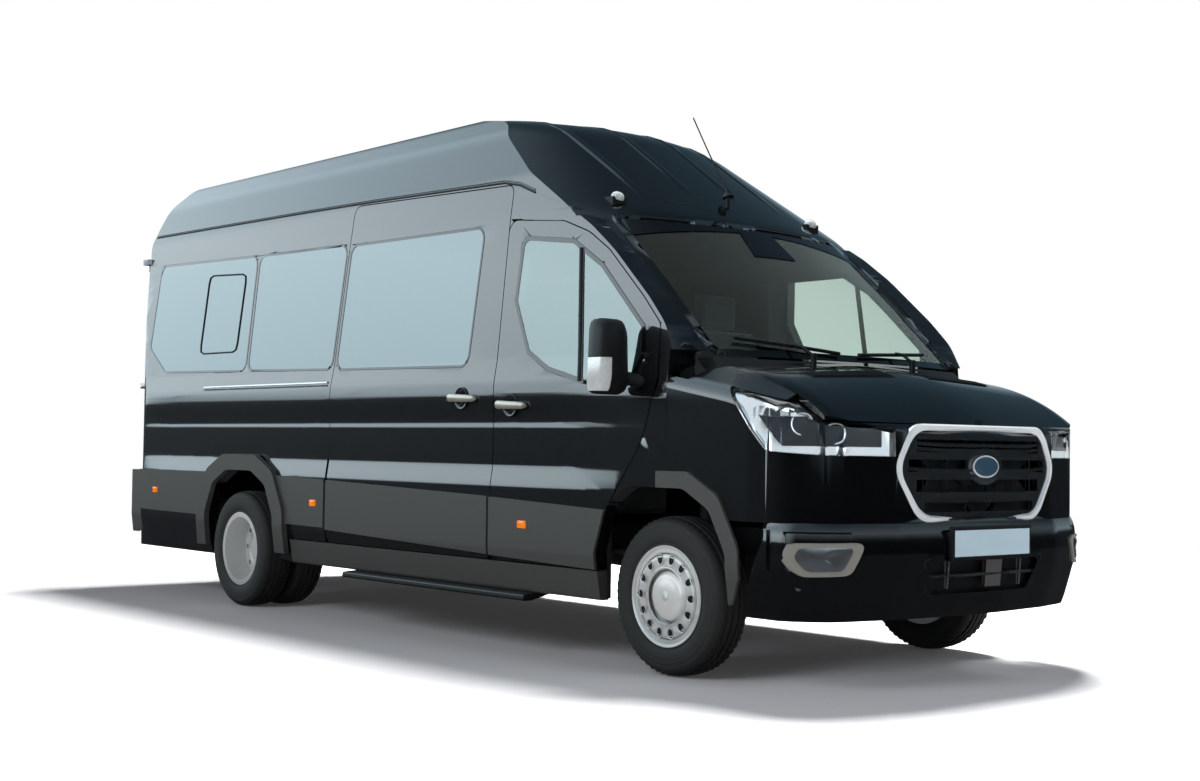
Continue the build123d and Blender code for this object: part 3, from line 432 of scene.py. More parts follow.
def edging(node, name, width, test):
    """Band round the outer face of a pane, as wide as given, standing a little proud."""
    piece = lifted(node, name)
    kept(piece, test)
    alone(piece)
    bpy.ops.object.mode_set(mode="EDIT")
    bpy.ops.mesh.select_all(action="SELECT")
    bpy.ops.mesh.inset(thickness=width, use_boundary=True, use_even_offset=False)
    bpy.ops.mesh.delete(type="FACE")
    bpy.ops.object.mode_set(mode="OBJECT")
    worked(piece, bpy.ops.transform.shrink_fatten, value=0.0003)
    modified(piece, "SOLIDIFY", thickness=0.0015, offset=1.0)
    return piece


def skin(node, name, test, inward, thick, planes=(), offset=-1.0):
    """Part of a node's outer face inside some planes, moved in and given a thickness."""
    piece = lifted(node, name)
    kept(piece, test)
    for point, normal in planes:
        sliced(piece, point, normal, drop=True)
    worked(piece, bpy.ops.transform.shrink_fatten, value=-inward)
    modified(piece, "SOLIDIFY", thickness=thick, offset=offset)
    return piece


PANES = (
    ("side_glass", "body", 0.012),
    ("sliding_door_glass", "body", 0.012),
    ("door_glass_right", "front_door_right", 0.022),
    ("door_glass_left", "front_door_left", 0.022),
)
for node, carrier, width in PANES:
    seal = edging(node, node + "_seal", width, lambda at, n: abs(n.y) > 0.7 and n.y * at.y > 0)
    mounted(seal, carrier, "dark_trim", frit)
for name in ("left", "right"):
    band = edging(f"rear_glass_{name}", f"rear_glass_{name}_seal", 0.014, lambda at, n: n.x < -0.7)
    mounted(band, f"rear_door_{name}", "dark_trim", frit)


def tube(name, points, radius, closed=False):
    """Round bead along a run of points, made as a curve and then a mesh."""
    made = bpy.data.curves.new(name, "CURVE")
    made.dimensions = "3D"
    made.bevel_depth = radius
    made.bevel_resolution = 2
    made.use_fill_caps = True
    line = made.splines.new("POLY")
    line.points.add(len(points) - 1)
    for place, point in zip(line.points, points):
        place.co = (*point, 1)
    line.use_cyclic_u = closed
    alone(placed(name, made))
    bpy.ops.object.convert(target="MESH")
    return bpy.context.object


faces_of = {}


def landed(nodes, start, way):
    """First place where a line meets any of the modelled nodes, or nothing."""
    best = None
    for node in nodes:
        if node not in faces_of:
            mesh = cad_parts[node].data
            faces_of[node] = BVHTree.FromPolygons(
                [v.co for v in mesh.vertices], [f.vertices for f in mesh.polygons]
            )
        place, normal, face, far = faces_of[node].ray_cast(Vector(start), Vector(way))
        if place and (best is None or far < best[1]):
            best = (place, far)
    return best[0] if best else None


def side_y(node, x, z, side):
    """How far out a modelled node's face is at a place seen from the side."""
    place = landed((node,), (x, side * 2.0, z), (0, -side, 0))
    return place.y if place else side * 1.0


# Vent window in each rearmost side pane: a hinged pane in its own thin black frame.
VENT_WINDOW = [(-2.19, 2.06), (-1.70, 2.037), (-1.742, 1.553), (-2.232, 1.556)]
for side, name in SIDES:
    path = []
    middle = sum(x for x, z in VENT_WINDOW) / 4
    for i, (x, z) in enumerate(VENT_WINDOW):
        for other in (VENT_WINDOW[i - 1], VENT_WINDOW[(i + 1) % 4]):
            reach = 0.05 / math.hypot(other[0] - x, other[1] - z)
            path.append((x + (other[0] - x) * reach, z + (other[1] - z) * reach))
            if other is VENT_WINDOW[i - 1]:
                path.append((x + (middle - x) * 0.04, z + (1.8 - z) * 0.055))
    rounded = [(x, side_y("side_glass", x, z, side) + side * 0.001, z) for x, z in path]
    frame_bead = tube(f"vent_window_{name}", rounded, 0.0055, closed=True)
    mounted(frame_bead, "body", "dark_trim", rubber_seal, angle=60)

# Upright bar in each front door window, between the fixed quarter pane and the drop
# glass: a rubber channel with a thin bead before it.
BAR_FOOT, BAR_HEAD = (1.638, 1.30), (1.577, 1.925)
BARS = ((0.0, 0.012, rubber_seal, "bar"), (0.014, 0.003, frit, "bead"))
for side, name in SIDES:
    node = f"door_glass_{name}"
    path = []
    for step in range(9):
        x = BAR_FOOT[0] + (BAR_HEAD[0] - BAR_FOOT[0]) * step / 8
        z = BAR_FOOT[1] + (BAR_HEAD[1] - BAR_FOOT[1]) * step / 8
        path.append((x, side_y(node, x, z, side), z))
    for offset, radius, material, kind in BARS:
        run = [(x + offset, y + side * 0.002, z) for x, y, z in path]
        post = tube(f"door_window_{kind}_{name}", run, radius)
        mounted(post, f"front_door_{name}", "dark_trim", material, angle=60)

# Printed border of the windscreen: wide at the foot and top, with a patch for the
# rain sensor behind the mirror.
def screen_face(at, n):
    """Faces of the windscreen that look forward and up."""
    return n.x > 0.3 and n.z > 0.1


screen_band = edging("windscreen", "windscreen_border", 0.045, screen_face)
mounted(screen_band, "body", "dark_trim", frit)
# Pieces of the screen's face: the planes that bound each, as a point and a normal.
SCREEN_PRINTS = {
    "windscreen_top_band": [((1.745, 0, 2.04), (0.72, 0, -0.69))],
    "rain_sensor_patch": [
        ((1.90, 0, 1.93), (0.72, 0, -0.69)),
        ((1.745, 0, 2.04), (-0.72, 0, 0.69)),
        ((1.8, 0.12, 2.0), (-0.25, 1, 0)),
        ((1.8, -0.12, 2.0), (-0.25, -1, 0)),
    ],
}
for name, planes in SCREEN_PRINTS.items():
    printed = skin("windscreen", name, screen_face, -0.0004, 0.0012, planes, offset=1.0)
    mounted(printed, "body", "dark_trim", frit)

# Grille: gloss black moulding behind a chromed hexagonal surround, with three double
# bars, upright ribs behind them, and a bare oval place in its middle.
gloss_black = finish("gloss_black_plastic", "#1d2022", 0.28, Coat_Weight=0.8, Coat_Roughness=0.08)
grain(gloss_black, 4, 0.01, (0.14, 0.24))
wear(gloss_black, "grille")
satin_chrome = finish("satin_chrome", "#e6eaec", 0.3, 0.3, Coat_Weight=0.6)
grain(satin_chrome, 20, 0.005, (0.25, 0.35))


def filleted(corners, radius, steps=5):
    """Closed outline with round corners, as (y, z) points."""
    made = []
    count = len(corners)
    for i, (y, z) in enumerate(corners):
        py, pz = corners[i - 1]
        ny, nz = corners[(i + 1) % count]
        back = min(0.45, radius / math.hypot(py - y, pz - z))
        on = min(0.45, radius / math.hypot(ny - y, nz - z))
        a = (y + (py - y) * back, z + (pz - z) * back)
        b = (y + (ny - y) * on, z + (nz - z) * on)
        for step in range(steps + 1):
            t = step / steps
            bend = zip(a, (y, z), b)
            made.append(tuple((1 - t) ** 2 * p + 2 * t * (1 - t) * q + t * t * r for p, q, r in bend))
    return made


def ribbon(name, rows, closed=True, thick=0.0, offset=1.0):
    """Sheet bridged between rows of points, each row as long as the others."""
    count = len(rows[0])
    faces = []
    for r in range(len(rows) - 1):
        for i in range(count if closed else count - 1):
            j = (i + 1) % count
            faces.append((r * count + i, r * count + j, (r + 1) * count + j, (r + 1) * count + i))
    mesh = bpy.data.meshes.new(name)
    mesh.from_pydata([tuple(p) for row in rows for p in row], [], faces)
    mesh.validate()
    piece = placed(name, mesh)
    worked(piece, bpy.ops.mesh.normals_make_consistent, inside=False)
    if thick:
        modified(piece, "SOLIDIFY", thickness=thick, offset=offset)
    return piece


# Corners of the grille's opening (y, z), its middle height, and half its width and height.
GRILLE = [(-0.442, 1.097), (0.442, 1.097), (0.54, 0.92)]
GRILLE += [(0.399, 0.718), (-0.399, 0.718), (-0.54, 0.92)]
GRILLE_Z, GRILLE_WIDE, GRILLE_TALL = 0.907, 0.47, 0.19


def grille_ring(grow, ahead):
    """Outline of the grille, grown outwards and set ahead of the nose."""
    wider, taller = 1 + grow / GRILLE_WIDE, 1 + grow / GRILLE_TALL
    corners = [(y * wider, GRILLE_Z + (z - GRILLE_Z) * taller) for y, z in GRILLE]
    return [(nose_x(y) + ahead, y, z) for y, z in filleted(corners, 0.07)]


SURROUND = ((0.016, -0.012), (0.016, 0.004), (0.009, 0.012))
SURROUND += ((-0.003, 0.011), (-0.011, 0.002), (-0.014, -0.02))
surround = ribbon("grille_surround", [grille_ring(*row) for row in SURROUND])
mounted(surround, "body", "chrome_trim", satin_chrome, angle=40)
BACKING = ((-0.013, -0.004), (-0.014, -0.03), (-0.42, -0.03))
backing = ribbon("grille_backing", [grille_ring(*row) for row in BACKING])
mounted(backing, "body", "dark_trim", black_plastic)
# Height of each double bar and its reach to either side, and the section of one strip:
# part of its half height, and place ahead of the nose.
GRILLE_BARS = ((1.016, 0.455), (0.909, 0.492), (0.801, 0.44))
STRIP = ((1, -0.02), (1, 0.0), (0.5, 0.0055), (-0.5, 0.0055), (-1, 0.0), (-1, -0.02))
for number, (z, reach) in enumerate(GRILLE_BARS):
    for rise, tall, kind in ((0.010, 0.009, "up"), (-0.012, 0.0085, "low")):
        rows = []
        for part, dx in STRIP:
            row = []
            for step in range(29):
                y = -reach + 2 * reach * step / 28
                droop = 0.012 * (abs(y) / reach) ** 6
                x = nose_x(y) + dx - 0.001 - droop
                row.append((x, y, z + rise + tall * part + droop * 0.9))
            rows.append(row)
        bar = ribbon(f"grille_bar_{number}_{kind}", rows, closed=False)
        mounted(bar, "body", "dark_trim", gloss_black, angle=40)
RIB_TOP, RIB_FOOT = 1.075, 0.735
for y in (-0.36, -0.24, -0.12, 0.0, 0.12, 0.24, 0.36):
    back, front = nose_x(y) - 0.026, nose_x(y) - 0.006
    section = ((back, RIB_TOP), (front, RIB_TOP), (front, RIB_FOOT), (back, RIB_FOOT))
    rows = [[(x, y + dy, z) for x, z in section] for dy in (-0.004, 0.004)]
    rib = ribbon(f"grille_rib_{round(y * 100) + 50}", rows)
    mounted(rib, "body", "dark_trim", black_plastic)
BADGE_Z = 0.936


def oval(name, x, half_wide, half_tall, rim, deep):
    """Domed oval plate with a raised rim, standing on the nose."""
    bpy.ops.object.select_all(action="DESELECT")
    bpy.ops.mesh.primitive_circle_add(vertices=56, radius=1.0, fill_type="NGON")
    plate = bpy.context.object
    plate.name = name
    for point in plate.data.vertices:
        y, z = point.co.x, point.co.y
        point.co = (x, y * half_wide, BADGE_Z + z * half_tall)
    alone(plate)
    bpy.ops.object.mode_set(mode="EDIT")
    bpy.ops.mesh.select_all(action="SELECT")
    bpy.ops.mesh.extrude_region_move(TRANSFORM_OT_translate={"value": (deep, 0, 0)})
    bpy.ops.mesh.inset(thickness=rim)
    bpy.ops.mesh.extrude_region_move(TRANSFORM_OT_translate={"value": (-0.003, 0, 0)})
    bpy.ops.object.mode_set(mode="OBJECT")
    worked(plate, bpy.ops.mesh.normals_make_consistent, inside=False)
    modified(plate, "BEVEL", width=0.0015, segments=2, limit_method="ANGLE")
    return plate


slate = finish("slate_enamel", "#2d4a5e", 0.3, 0.2, Coat_Weight=0.7)
grain(slate, 3, 0.01, (0.25, 0.35))
OVALS = (
    ("base", 3.128, 0.118, 0.078, 0.004, 0.024, "dark_trim", gloss_black),
    ("ring", 3.150, 0.088, 0.048, 0.005, 0.008, "chrome_trim", satin_chrome),
    ("face", 3.1525, 0.080, 0.041, 0.003, 0.0075, "chrome_trim", slate),
)
for kind, *sizes, slot, material in OVALS:
    mounted(oval(f"grille_oval_{kind}", *sizes), "body", slot, material)

# Headlamps: one long moulded lens over a chromed liner, and a black mask with two lamp
# bowls. The lens is clear polycarbonate.
lens = finish("clear_polycarbonate", "#f6fafc", 0.01, Transmission_Weight=1.0, IOR=1.12)
liner = finish("vacuum_chrome", "#dfe5e9", 0.16, 0.95)
grain(liner, 5, 0.03, (0.1, 0.22))
mask = finish("lamp_mask", "#202a30", 0.22, 0.35)
grain(mask, 6, 0.02, (0.18, 0.3))


def outward(at, n):
    """Faces of a headlamp that look out of the body."""
    side = 1 if at.y > 0 else -1
    return n.x * 0.5 + n.y * side * 0.75 + n.z * 0.55 > 0.38


lamp_lens = skin("headlamps", "headlamp_lenses", outward, 0.0, 0.003)
mounted(lamp_lens, "body", "lamp_lens", lens, "headlamps")
lamp_liner = skin("headlamps", "headlamp_liners", outward, 0.022, 0.004)
mounted(lamp_liner, "body", "chrome_trim", liner)


def lathe(name, centre, axis, profile, steps=48):
    """Turned piece: profile of (distance along the axis, radius) about an axis."""
    mesh = bpy.data.meshes.new(name)
    points = [(radius, 0, along) for along, radius in profile]
    mesh.from_pydata(points, [(i, i + 1) for i in range(len(profile) - 1)], [])
    piece = placed(name, mesh)
    whole = 2 * math.pi
    worked(piece, bpy.ops.mesh.spin, steps=steps, angle=whole, center=(0, 0, 0), axis=(0, 0, 1))
    worked(piece, bpy.ops.mesh.remove_doubles, threshold=0.00005)
    worked(piece, bpy.ops.mesh.normals_make_consistent, inside=False)
    turn = Vector((0, 0, 1)).rotation_difference(Vector(axis)).to_matrix().to_4x4()
    piece.data.transform(Matrix.Translation(centre) @ turn)
    return piece


# Bowls: place, radius and the material in the middle; then the sections of bowl and eye,
# as distance along the axis and part of the radius.
BOWLS = ((2.925, 0.906, 1.102, 0.042, mask), (3.012, 0.805, 1.066, 0.040, liner))
BOWL = ((-0.016, 0.5), (-0.012, 0.74), (-0.004, 0.92), (0.0, 1.02), (0.0, 1.10), (-0.012, 1.16))
EYE = ((-0.016, 0.74), (-0.008, 0.70), (-0.003, 0.55), (0.0, 0.3), (0.001, 0.0))
POINT = 0.0004
for side, name in SIDES:
    planes = (
        ((2.80, side * 0.98, 1.10), (-0.80, -side * 0.1, -0.62)),
        ((3.09, side * 0.60, 1.10), (0.15, -side * 1.0, 0.0)),
        ((2.95, side * 0.9, 1.135), (0.1, side * 0.15, 1.0)),
        ((2.95, side * 0.9, 1.012), (0.0, 0.0, -1.0)),
    )
    on_side = lambda at, n, s=side: outward(at, n) and at.y * s > 0
    dark = skin("headlamps", f"headlamp_mask_{name}", on_side, 0.017, 0.003, planes)
    mounted(dark, "body", "dark_trim", mask)
    aim = Vector((1.0, side * 0.75, 0.12)).normalized()
    for number, (x, y, z, radius, middle) in enumerate(BOWLS):
        place = Vector((x, side * y, z)) - aim * 0.004
        for kind, section, slot, material, angle in (
            ("bowl", BOWL, "chrome_trim", liner, 50),
            ("eye", EYE, "lamp_lens", middle, 60),
        ):
            profile = [(along, max(POINT, radius * part)) for along, part in section]
            turned = lathe(f"headlamp_{kind}_{name}_{number}", place, aim, profile)
            mounted(turned, "body", slot, material, angle=angle)

# Fog lamps: grey moulded surrounds with six sides, each with a small clear lamp, on the
# painted outer corners of the front bumper.
FOG_OUTER = [(0.992, 0.563), (0.972, 0.622), (0.735, 0.626)]
FOG_OUTER += [(0.715, 0.606), (0.775, 0.492), (0.94, 0.484)]
FOG_Y = 0.873


def dense(points, reach=0.03):
    """Closed run of points with more put in along its straights."""
    made = []
    for (a, b), (c, d) in zip(points, points[1:] + points[:1]):
        count = max(1, round(math.hypot(c - a, d - b) / reach))
        made += [(a + (c - a) * i / count, b + (d - b) * i / count) for i in range(count)]
    return made


def bar_slope(y):
    """Direction that the front bar faces in plan, as x and y parts."""
    step = 0.02
    dx = nose_x(abs(y) + step) - nose_x(abs(y) - step)
    facing = Vector((2 * step, -dx * (1 if y > 0 else -1)))
    return facing.normalized()


# How far the lower half of the bumper stands ahead of the upper nose.
LOWER_SHIFT = 0.031
for side, name in SIDES:
    rows = []
    for z in (0.672, 0.655, 0.63, 0.6, 0.56, 0.505):
        back = between(BUMPER_ROWS, z)
        row = []
        for step in range(13):
            y = 0.755 + 0.268 * step / 12
            share = corner_share(y)
            x = nose_x(y) + LOWER_SHIFT - back * (1 - 0.45 * share) + 0.0012
            row.append((x, side * (y - back * 0.5 * share), z))
        rows.append(row)
    blank = ribbon(f"bumper_corner_{name}", rows, closed=False)
    mounted(blank, "body", "body_paint", enamel)
fog_grey = finish("grey_lamp_surround", "#77756e", 0.45, Specular_IOR_Level=0.4)
grain(fog_grey, 3, 0.04, (0.38, 0.52), ("#6d6b64", "#807e76"))


def fog_rows(rings, middle, side):
    """Outlines of the fog lamp, each shrunk about a height and set ahead of the bumper."""
    rows = []
    for scale, ahead in rings:
        row = []
        for y, z in dense(filleted(FOG_OUTER, 0.03, 4)):
            yy = FOG_Y + (y - FOG_Y) * scale
            zz = middle + (z - middle) * scale
            row.append((nose_x(yy) + LOWER_SHIFT + ahead, side * yy, zz))
        rows.append(row)
    return rows


FOG_FRAME = ((1.0, -0.002), (0.985, 0.008), (0.88, 0.011), (0.80, 0.008), (0.7, 0.003), (0.6, 0.002))
FOG_LENS = ((0.7, 0.0035), (0.5, 0.007), (0.02, 0.008))
for side, name in SIDES:
    surround = ribbon(f"fog_lamp_surround_{name}", fog_rows(FOG_FRAME, 0.556, side))
    covered = ("fog_lamps",) if side > 0 else ()
    mounted(surround, "body", "dark_trim", fog_grey, *covered, angle=35)
    glass = ribbon(f"fog_lamp_lens_{name}", fog_rows(FOG_LENS, 0.558, side), thick=0.002)
    mounted(glass, "body", "lamp_lens", liner, angle=50)

# Front number plate: blank sheet in a dark moulded holder, with the lower intake under
# it, one slat and three uprights in the intake, and four parking sensors beside it.
plate_sheet = finish("blank_plate", "#a3b7c0", 0.35, Coat_Weight=0.3)
grain(plate_sheet, 2, 0.004, (0.3, 0.4), ("#9fb3bc", "#a8bcc5"))
wear(plate_sheet, "number_plates")
PLATE = [(-0.26, 0.669), (0.26, 0.669), (0.26, 0.559), (-0.26, 0.559)]
PLATE_Z, PLATE_WIDE, PLATE_TALL = 0.614, 0.26, 0.055
HOLDER = ((0.016, 3.176), (0.016, 3.1915), (0.012, 3.1945), (0.002, 3.1945), (0.0, 3.190))
holder_rows = []
for grow, x in HOLDER:
    wider, taller = 1 + grow / PLATE_WIDE, 1 + grow / PLATE_TALL
    corners = filleted(PLATE, 0.008, 3)
    holder_rows.append([(x, y * wider, PLATE_Z + (z - PLATE_Z) * taller) for y, z in corners])
holder = ribbon("number_plate_holder", holder_rows)
mounted(holder, "body", "dark_trim", black_plastic, angle=40)
INTAKE = [(-0.40, 0.548), (0.40, 0.548), (0.352, 0.402), (-0.352, 0.402)]


def intake_ring(scale, ahead):
    """Outline of the lower intake, on the front bar's face."""
    ring = []
    for y, z in filleted(INTAKE, 0.03, 4):
        yy, zz = y * scale, 0.475 + (z - 0.475) * scale
        ring.append((nose_x(yy) + LOWER_SHIFT - between(BUMPER_ROWS, zz) + ahead, yy, zz))
    return ring


MOUTH = ((1.05, 0.002), (1.02, 0.004), (0.98, -0.03), (0.02, -0.045))
mouth = ribbon("lower_intake", [intake_ring(*row) for row in MOUTH])
mounted(mouth, "body", "dark_trim", black_plastic, angle=40)
SLAT = ((0.007, -0.03), (0.007, -0.008), (0.0, -0.003), (-0.007, -0.008), (-0.007, -0.03))
slat_run = [-0.37 + 0.74 * i / 20 for i in range(21)]
slat_rows = [
    [(nose_x(y) + LOWER_SHIFT + dx - 0.012, y, 0.478 + dz) for y in slat_run] for dz, dx in SLAT
]
slat = ribbon("lower_intake_slat", slat_rows, closed=False)
mounted(slat, "body", "dark_trim", gloss_black, angle=40)
for number, y in enumerate((-0.25, 0.05, 0.25)):
    wide = 0.055 if number == 1 else 0.004
    x = nose_x(y) + LOWER_SHIFT - 0.014
    section = ((x - 0.02, 0.54), (x, 0.54), (x - 0.01, 0.425), (x - 0.02, 0.425))
    rows = [[(at, y + dy, z) for at, z in section] for dy in (-wide, wide)]
    upright = ribbon(f"lower_intake_upright_{number}", rows, thick=0.002)
    mounted(upright, "body", "dark_trim", moulded)
SENSOR_Z = 0.44
SENSOR_DOT = [(0.0, 0.013), (0.0075, 0.0125), (0.009, 0.011), (0.0085, 0.008), (0.0085, 0.0003)]
for number, y in enumerate((-0.92, -0.62, 0.62, 0.92)):
    facing = bar_slope(y)
    x = nose_x(y) + LOWER_SHIFT - between(BUMPER_ROWS, SENSOR_Z)
    place = (x - 0.012, y, SENSOR_Z)
    dot = lathe(f"parking_sensor_{number}", place, (facing.x, facing.y, 0), SENSOR_DOT, 24)
    mounted(dot, "body", "dark_trim", moulded, angle=40)

# Tyres: radial van tyres of filled rubber, with five circumferential ribs, shoulder
# blocks cut by cross slots, and rings moulded into the side walls.
rubber = finish("tyre_rubber", "#232322", 0.72, Specular_IOR_Level=0.35)
grain(rubber, 5, 0.08, (0.6, 0.8), ("#222221", "#30302e"))
FRONT_AXLE_X, REAR_AXLE_X, AXLE_HEIGHT = 2.175, -1.575, 0.3495
# Half of the tyre's outline from the bead to the tread's middle: radius, then distance
# from the middle plane.
SIDE_WALL = [
    (0.2205, 0.086), (0.226, 0.0895), (0.232, 0.0885), (0.236, 0.0915), (0.247, 0.0945),
    (0.262, 0.0965), (0.278, 0.097), (0.281, 0.0962), (0.284, 0.0968), (0.301, 0.0955),
    (0.3035, 0.0938), (0.306, 0.0945), (0.322, 0.0895), (0.333, 0.0835), (0.341, 0.0745),
]
TREAD = [(0.345, 0.066), (0.3455, 0.05), (0.338, 0.0485), (0.338, 0.0415), (0.3475, 0.040)]
TREAD += [(0.3485, 0.0235), (0.340, 0.022), (0.340, 0.014), (0.349, 0.0125), (0.3493, 0.0)]


def tyre(name, y, x):
    """One tyre, turned about its axle line, with slots pressed into its shoulders."""
    half = SIDE_WALL + TREAD
    profile = [(w, r) for r, w in half] + [(-w, r) for r, w in reversed(half[:-1])]
    made = lathe(name, (0, 0, 0), (0, 0, 1), profile, 120)
    for point in made.data.vertices:
        radius = math.hypot(point.co.x, point.co.y)
        angle = math.atan2(point.co.y, point.co.x)
        slot_number = round(angle / (2 * math.pi) * 120) % 2
        if radius > 0.330 and abs(point.co.z) > 0.047 and slot_number:
            shrink = (radius - 0.0065) / radius
            point.co.x *= shrink
            point.co.y *= shrink
    turn = Matrix.Rotation(math.radians(90), 4, "X")
    made.data.transform(Matrix.Translation((x, y, AXLE_HEIGHT)) @ turn)
    return made


TYRES = []
for side, name in SIDES:
    TYRES.append((f"front_tyre_{name}", f"front_wheel_{name}", FRONT_AXLE_X, [side * 0.866]))
for side, name in SIDES:
    pair = [side * 0.945, side * 0.72]
    TYRES.append((f"rear_tyres_{name}", f"rear_wheels_{name}", REAR_AXLE_X, pair))
for node, carrier, x, places in TYRES:
    for number, y in enumerate(places):
        ring = tyre(f"{node}_tread_{number}", y, x)
        mounted(ring, carrier, "tyre", rubber, *((node,) if number == 0 else ()), angle=38)

# Rims: pressed steel sprayed silver, with a rolled edge, fourteen oval vents and a domed
# centre cap in front, and a deep dish behind.
silver = finish("rim_silver", "#e4e5e3", 0.32, 0.25)
grain(silver, 1.2, 0.01, (0.24, 0.36), ("#cfd0ce", "#dcddda"))
# Near-black for vent holes: painted shade where the vents open.
shadow = finish("vent_shadow", "#0b0b0c", 0.8)
grain(shadow, 4, 0.02, (0.7, 0.9))
cap_silver = finish("cap_lacquer", "#e9e9e6", 0.24, 0.15, Coat_Weight=0.4)
grain(cap_silver, 2, 0.004, (0.18, 0.26))
wear(silver, "front_rim_left", "front_rim_right", "rear_rims_left", "rear_rims_right")


RIM_FACE = 0.953
VENT_RING, VENT_LONG, VENT_WIDE = 0.1625, 0.0165, 0.0215
VENT_ROWS = ((1.22, -0.0004), (1.14, 0.0022), (1.0, 0.0016), (0.92, -0.001), (0.02, -0.0014))


def vent(name, side, angle):
    """Oval vent pressed into a front disc, with a rolled lip, and a dark sheet of painted shade in
    its hole.
    """
    rows = []
    for grow, ahead in VENT_ROWS:
        row = []
        for i in range(20):
            t = 2 * math.pi * i / 20
            u, v = math.cos(t) * VENT_WIDE * grow, math.sin(t) * VENT_LONG * grow
            px = VENT_RING * math.cos(angle) + u * math.cos(angle) - v * math.sin(angle)
            pz = VENT_RING * math.sin(angle) + u * math.sin(angle) + v * math.cos(angle)
            y = side * (RIM_FACE + 0.006) + side * (ahead - u * 0.10)
            row.append((FRONT_AXLE_X + px, y, AXLE_HEIGHT + pz))
        rows.append(row)
    return ribbon(name + "_lip", rows[:4]), ribbon(name, rows[3:])


FRONT_DISH = [
    (0.0, 0.2195), (0.004, 0.2225), (0.0065, 0.2195), (0.003, 0.2115), (-0.004, 0.2055),
    (-0.022, 0.2005), (-0.028, 0.1975), (-0.0245, 0.190), (-0.010, 0.186), (0.0, 0.182),
    (0.004, 0.176), (0.0035, 0.160), (0.0, 0.140), (0.0005, 0.132), (0.006, 0.1285),
    (0.007, 0.1235), (-0.004, 0.119),
]
FRONT_CAP = [(-0.002, 0.1195), (0.012, 0.1165), (0.030, 0.1095), (0.039, 0.101)]
FRONT_CAP += [(0.043, 0.0925), (0.0455, 0.088), (0.0455, 0.082), (0.049, 0.065)]
FRONT_CAP += [(0.052, 0.04), (0.053, 0.0003)]
CAP_FACE = 0.9065
for side, name in SIDES:
    carrier = f"front_wheel_{name}"
    for kind, face, section, material, steps in (
        ("dish", RIM_FACE, FRONT_DISH, silver, 72),
        ("cap", CAP_FACE, FRONT_CAP, cap_silver, 64),
    ):
        place = (FRONT_AXLE_X, side * face, AXLE_HEIGHT)
        turned = lathe(f"front_rim_{name}_{kind}", place, (0, side, 0), section, steps)
        mounted(turned, carrier, "silver_rim", material, angle=50)
    for number in range(14):
        lip, hole = vent(f"front_vent_{name}_{number}", side, 2 * math.pi * number / 14)
        mounted(lip, carrier, "silver_rim", silver, angle=50)
        # The vent's hole is a dark sheet of painted shade, not an opening.
        mounted(hole, carrier, "dark_trim", shadow)

# Door mirrors: moulded black housings on a short arm from the door, each with a silvered
# pane behind and a clear turn lens on its outer edge.
MIRROR_ROWS = [
    (1.9405, 0.088, 0.160, 0.04), (1.948, 0.093, 0.1655, 0.045), (1.985, 0.0945, 0.168, 0.05),
    (2.012, 0.090, 0.162, 0.055), (2.034, 0.074, 0.142, 0.055), (2.047, 0.044, 0.10, 0.05),
    (2.0495, 0.01, 0.03, 0.02),
]
signal = finish("clear_signal_lens", "#e9ecea", 0.08, 0.35, Coat_Weight=1.0)
grain(signal, 9, 0.4, (0.04, 0.2), ("#f2f2ee", "#b9c2c4"))
mirror_glass = finish("mirror_silvering", "#dfe5e8", 0.02, 1.0)
grain(mirror_glass, 40, 0.001, (0.015, 0.03))
MIRROR_Y, MIRROR_Z = 1.1415, 1.395
MIRROR_PANE = [(0.078, 0.148), (-0.078, 0.148), (-0.077, -0.148), (0.076, -0.148)]
# Widest point of the modelled mirror, which the lens must not pass.
MIRROR_REACH = 1.2345


def mirror_ring(x, corners, radius, side, scale=1.0):
    """Outline across a mirror, narrower towards its top."""
    ring = []
    for u, w in filleted(corners, radius, 5):
        lean = 1 - max(0, w) * 1.1
        ring.append((x, side * (MIRROR_Y + u * scale * lean), MIRROR_Z + w * scale))
    return ring


def capped(piece):
    """Closes the open ends of a piece and turns its faces outwards."""
    worked(piece, bpy.ops.mesh.fill_holes, sides=0)
    worked(piece, bpy.ops.mesh.normals_make_consistent, inside=False)


for side, name in SIDES:
    carrier = f"front_door_{name}"
    rows = []
    for x, wide, tall, corner in MIRROR_ROWS:
        block = [(wide, tall), (-wide, tall), (-wide * 0.98, -tall), (wide * 0.96, -tall)]
        rows.append(mirror_ring(x, block, corner, side))
    housing = ribbon(f"mirror_{name}_housing", rows)
    capped(housing)
    mounted(housing, carrier, "dark_trim", black_plastic, f"mirror_{name}", angle=50)
    arm = [(2.07, 0.985, 1.285), (2.045, 1.02, 1.29), (2.0, 1.06, 1.305), (1.985, 1.09, 1.33)]
    stalk = tube(f"mirror_{name}_arm", [(x, side * y, z) for x, y, z in arm], 0.03)
    mounted(stalk, carrier, "dark_trim", black_plastic, angle=60)
    faces = ((1.9398, 1.0), (1.9396, 0.5), (1.9396, 0.02))
    rows = [mirror_ring(x, MIRROR_PANE, 0.04, side, scale) for x, scale in faces]
    mounted(ribbon(f"mirror_{name}_pane", rows), carrier, "chrome_trim", mirror_glass)
    turn_lens = placed(f"mirror_{name}_signal", housing.data.copy())
    sliced(turn_lens, (0, 0, 1.388), (0, 0, 1), drop=True)
    sliced(turn_lens, (0, 0, 1.243), (0, 0, -1), drop=True)
    sliced(turn_lens, (0, side * 1.176, 0), (0, -side, 0), drop=True)
    kept(turn_lens, lambda at, n, s=side: n.x * 0.6 + n.y * s > 0.2 and at.x > 1.955)
    modified(turn_lens, "SOLIDIFY", thickness=0.002, offset=1.0)
    for point in turn_lens.data.vertices:
        point.co.y = math.copysign(min(abs(point.co.y), MIRROR_REACH), point.co.y)
    mounted(turn_lens, carrier, "lamp_lens", signal, angle=50)

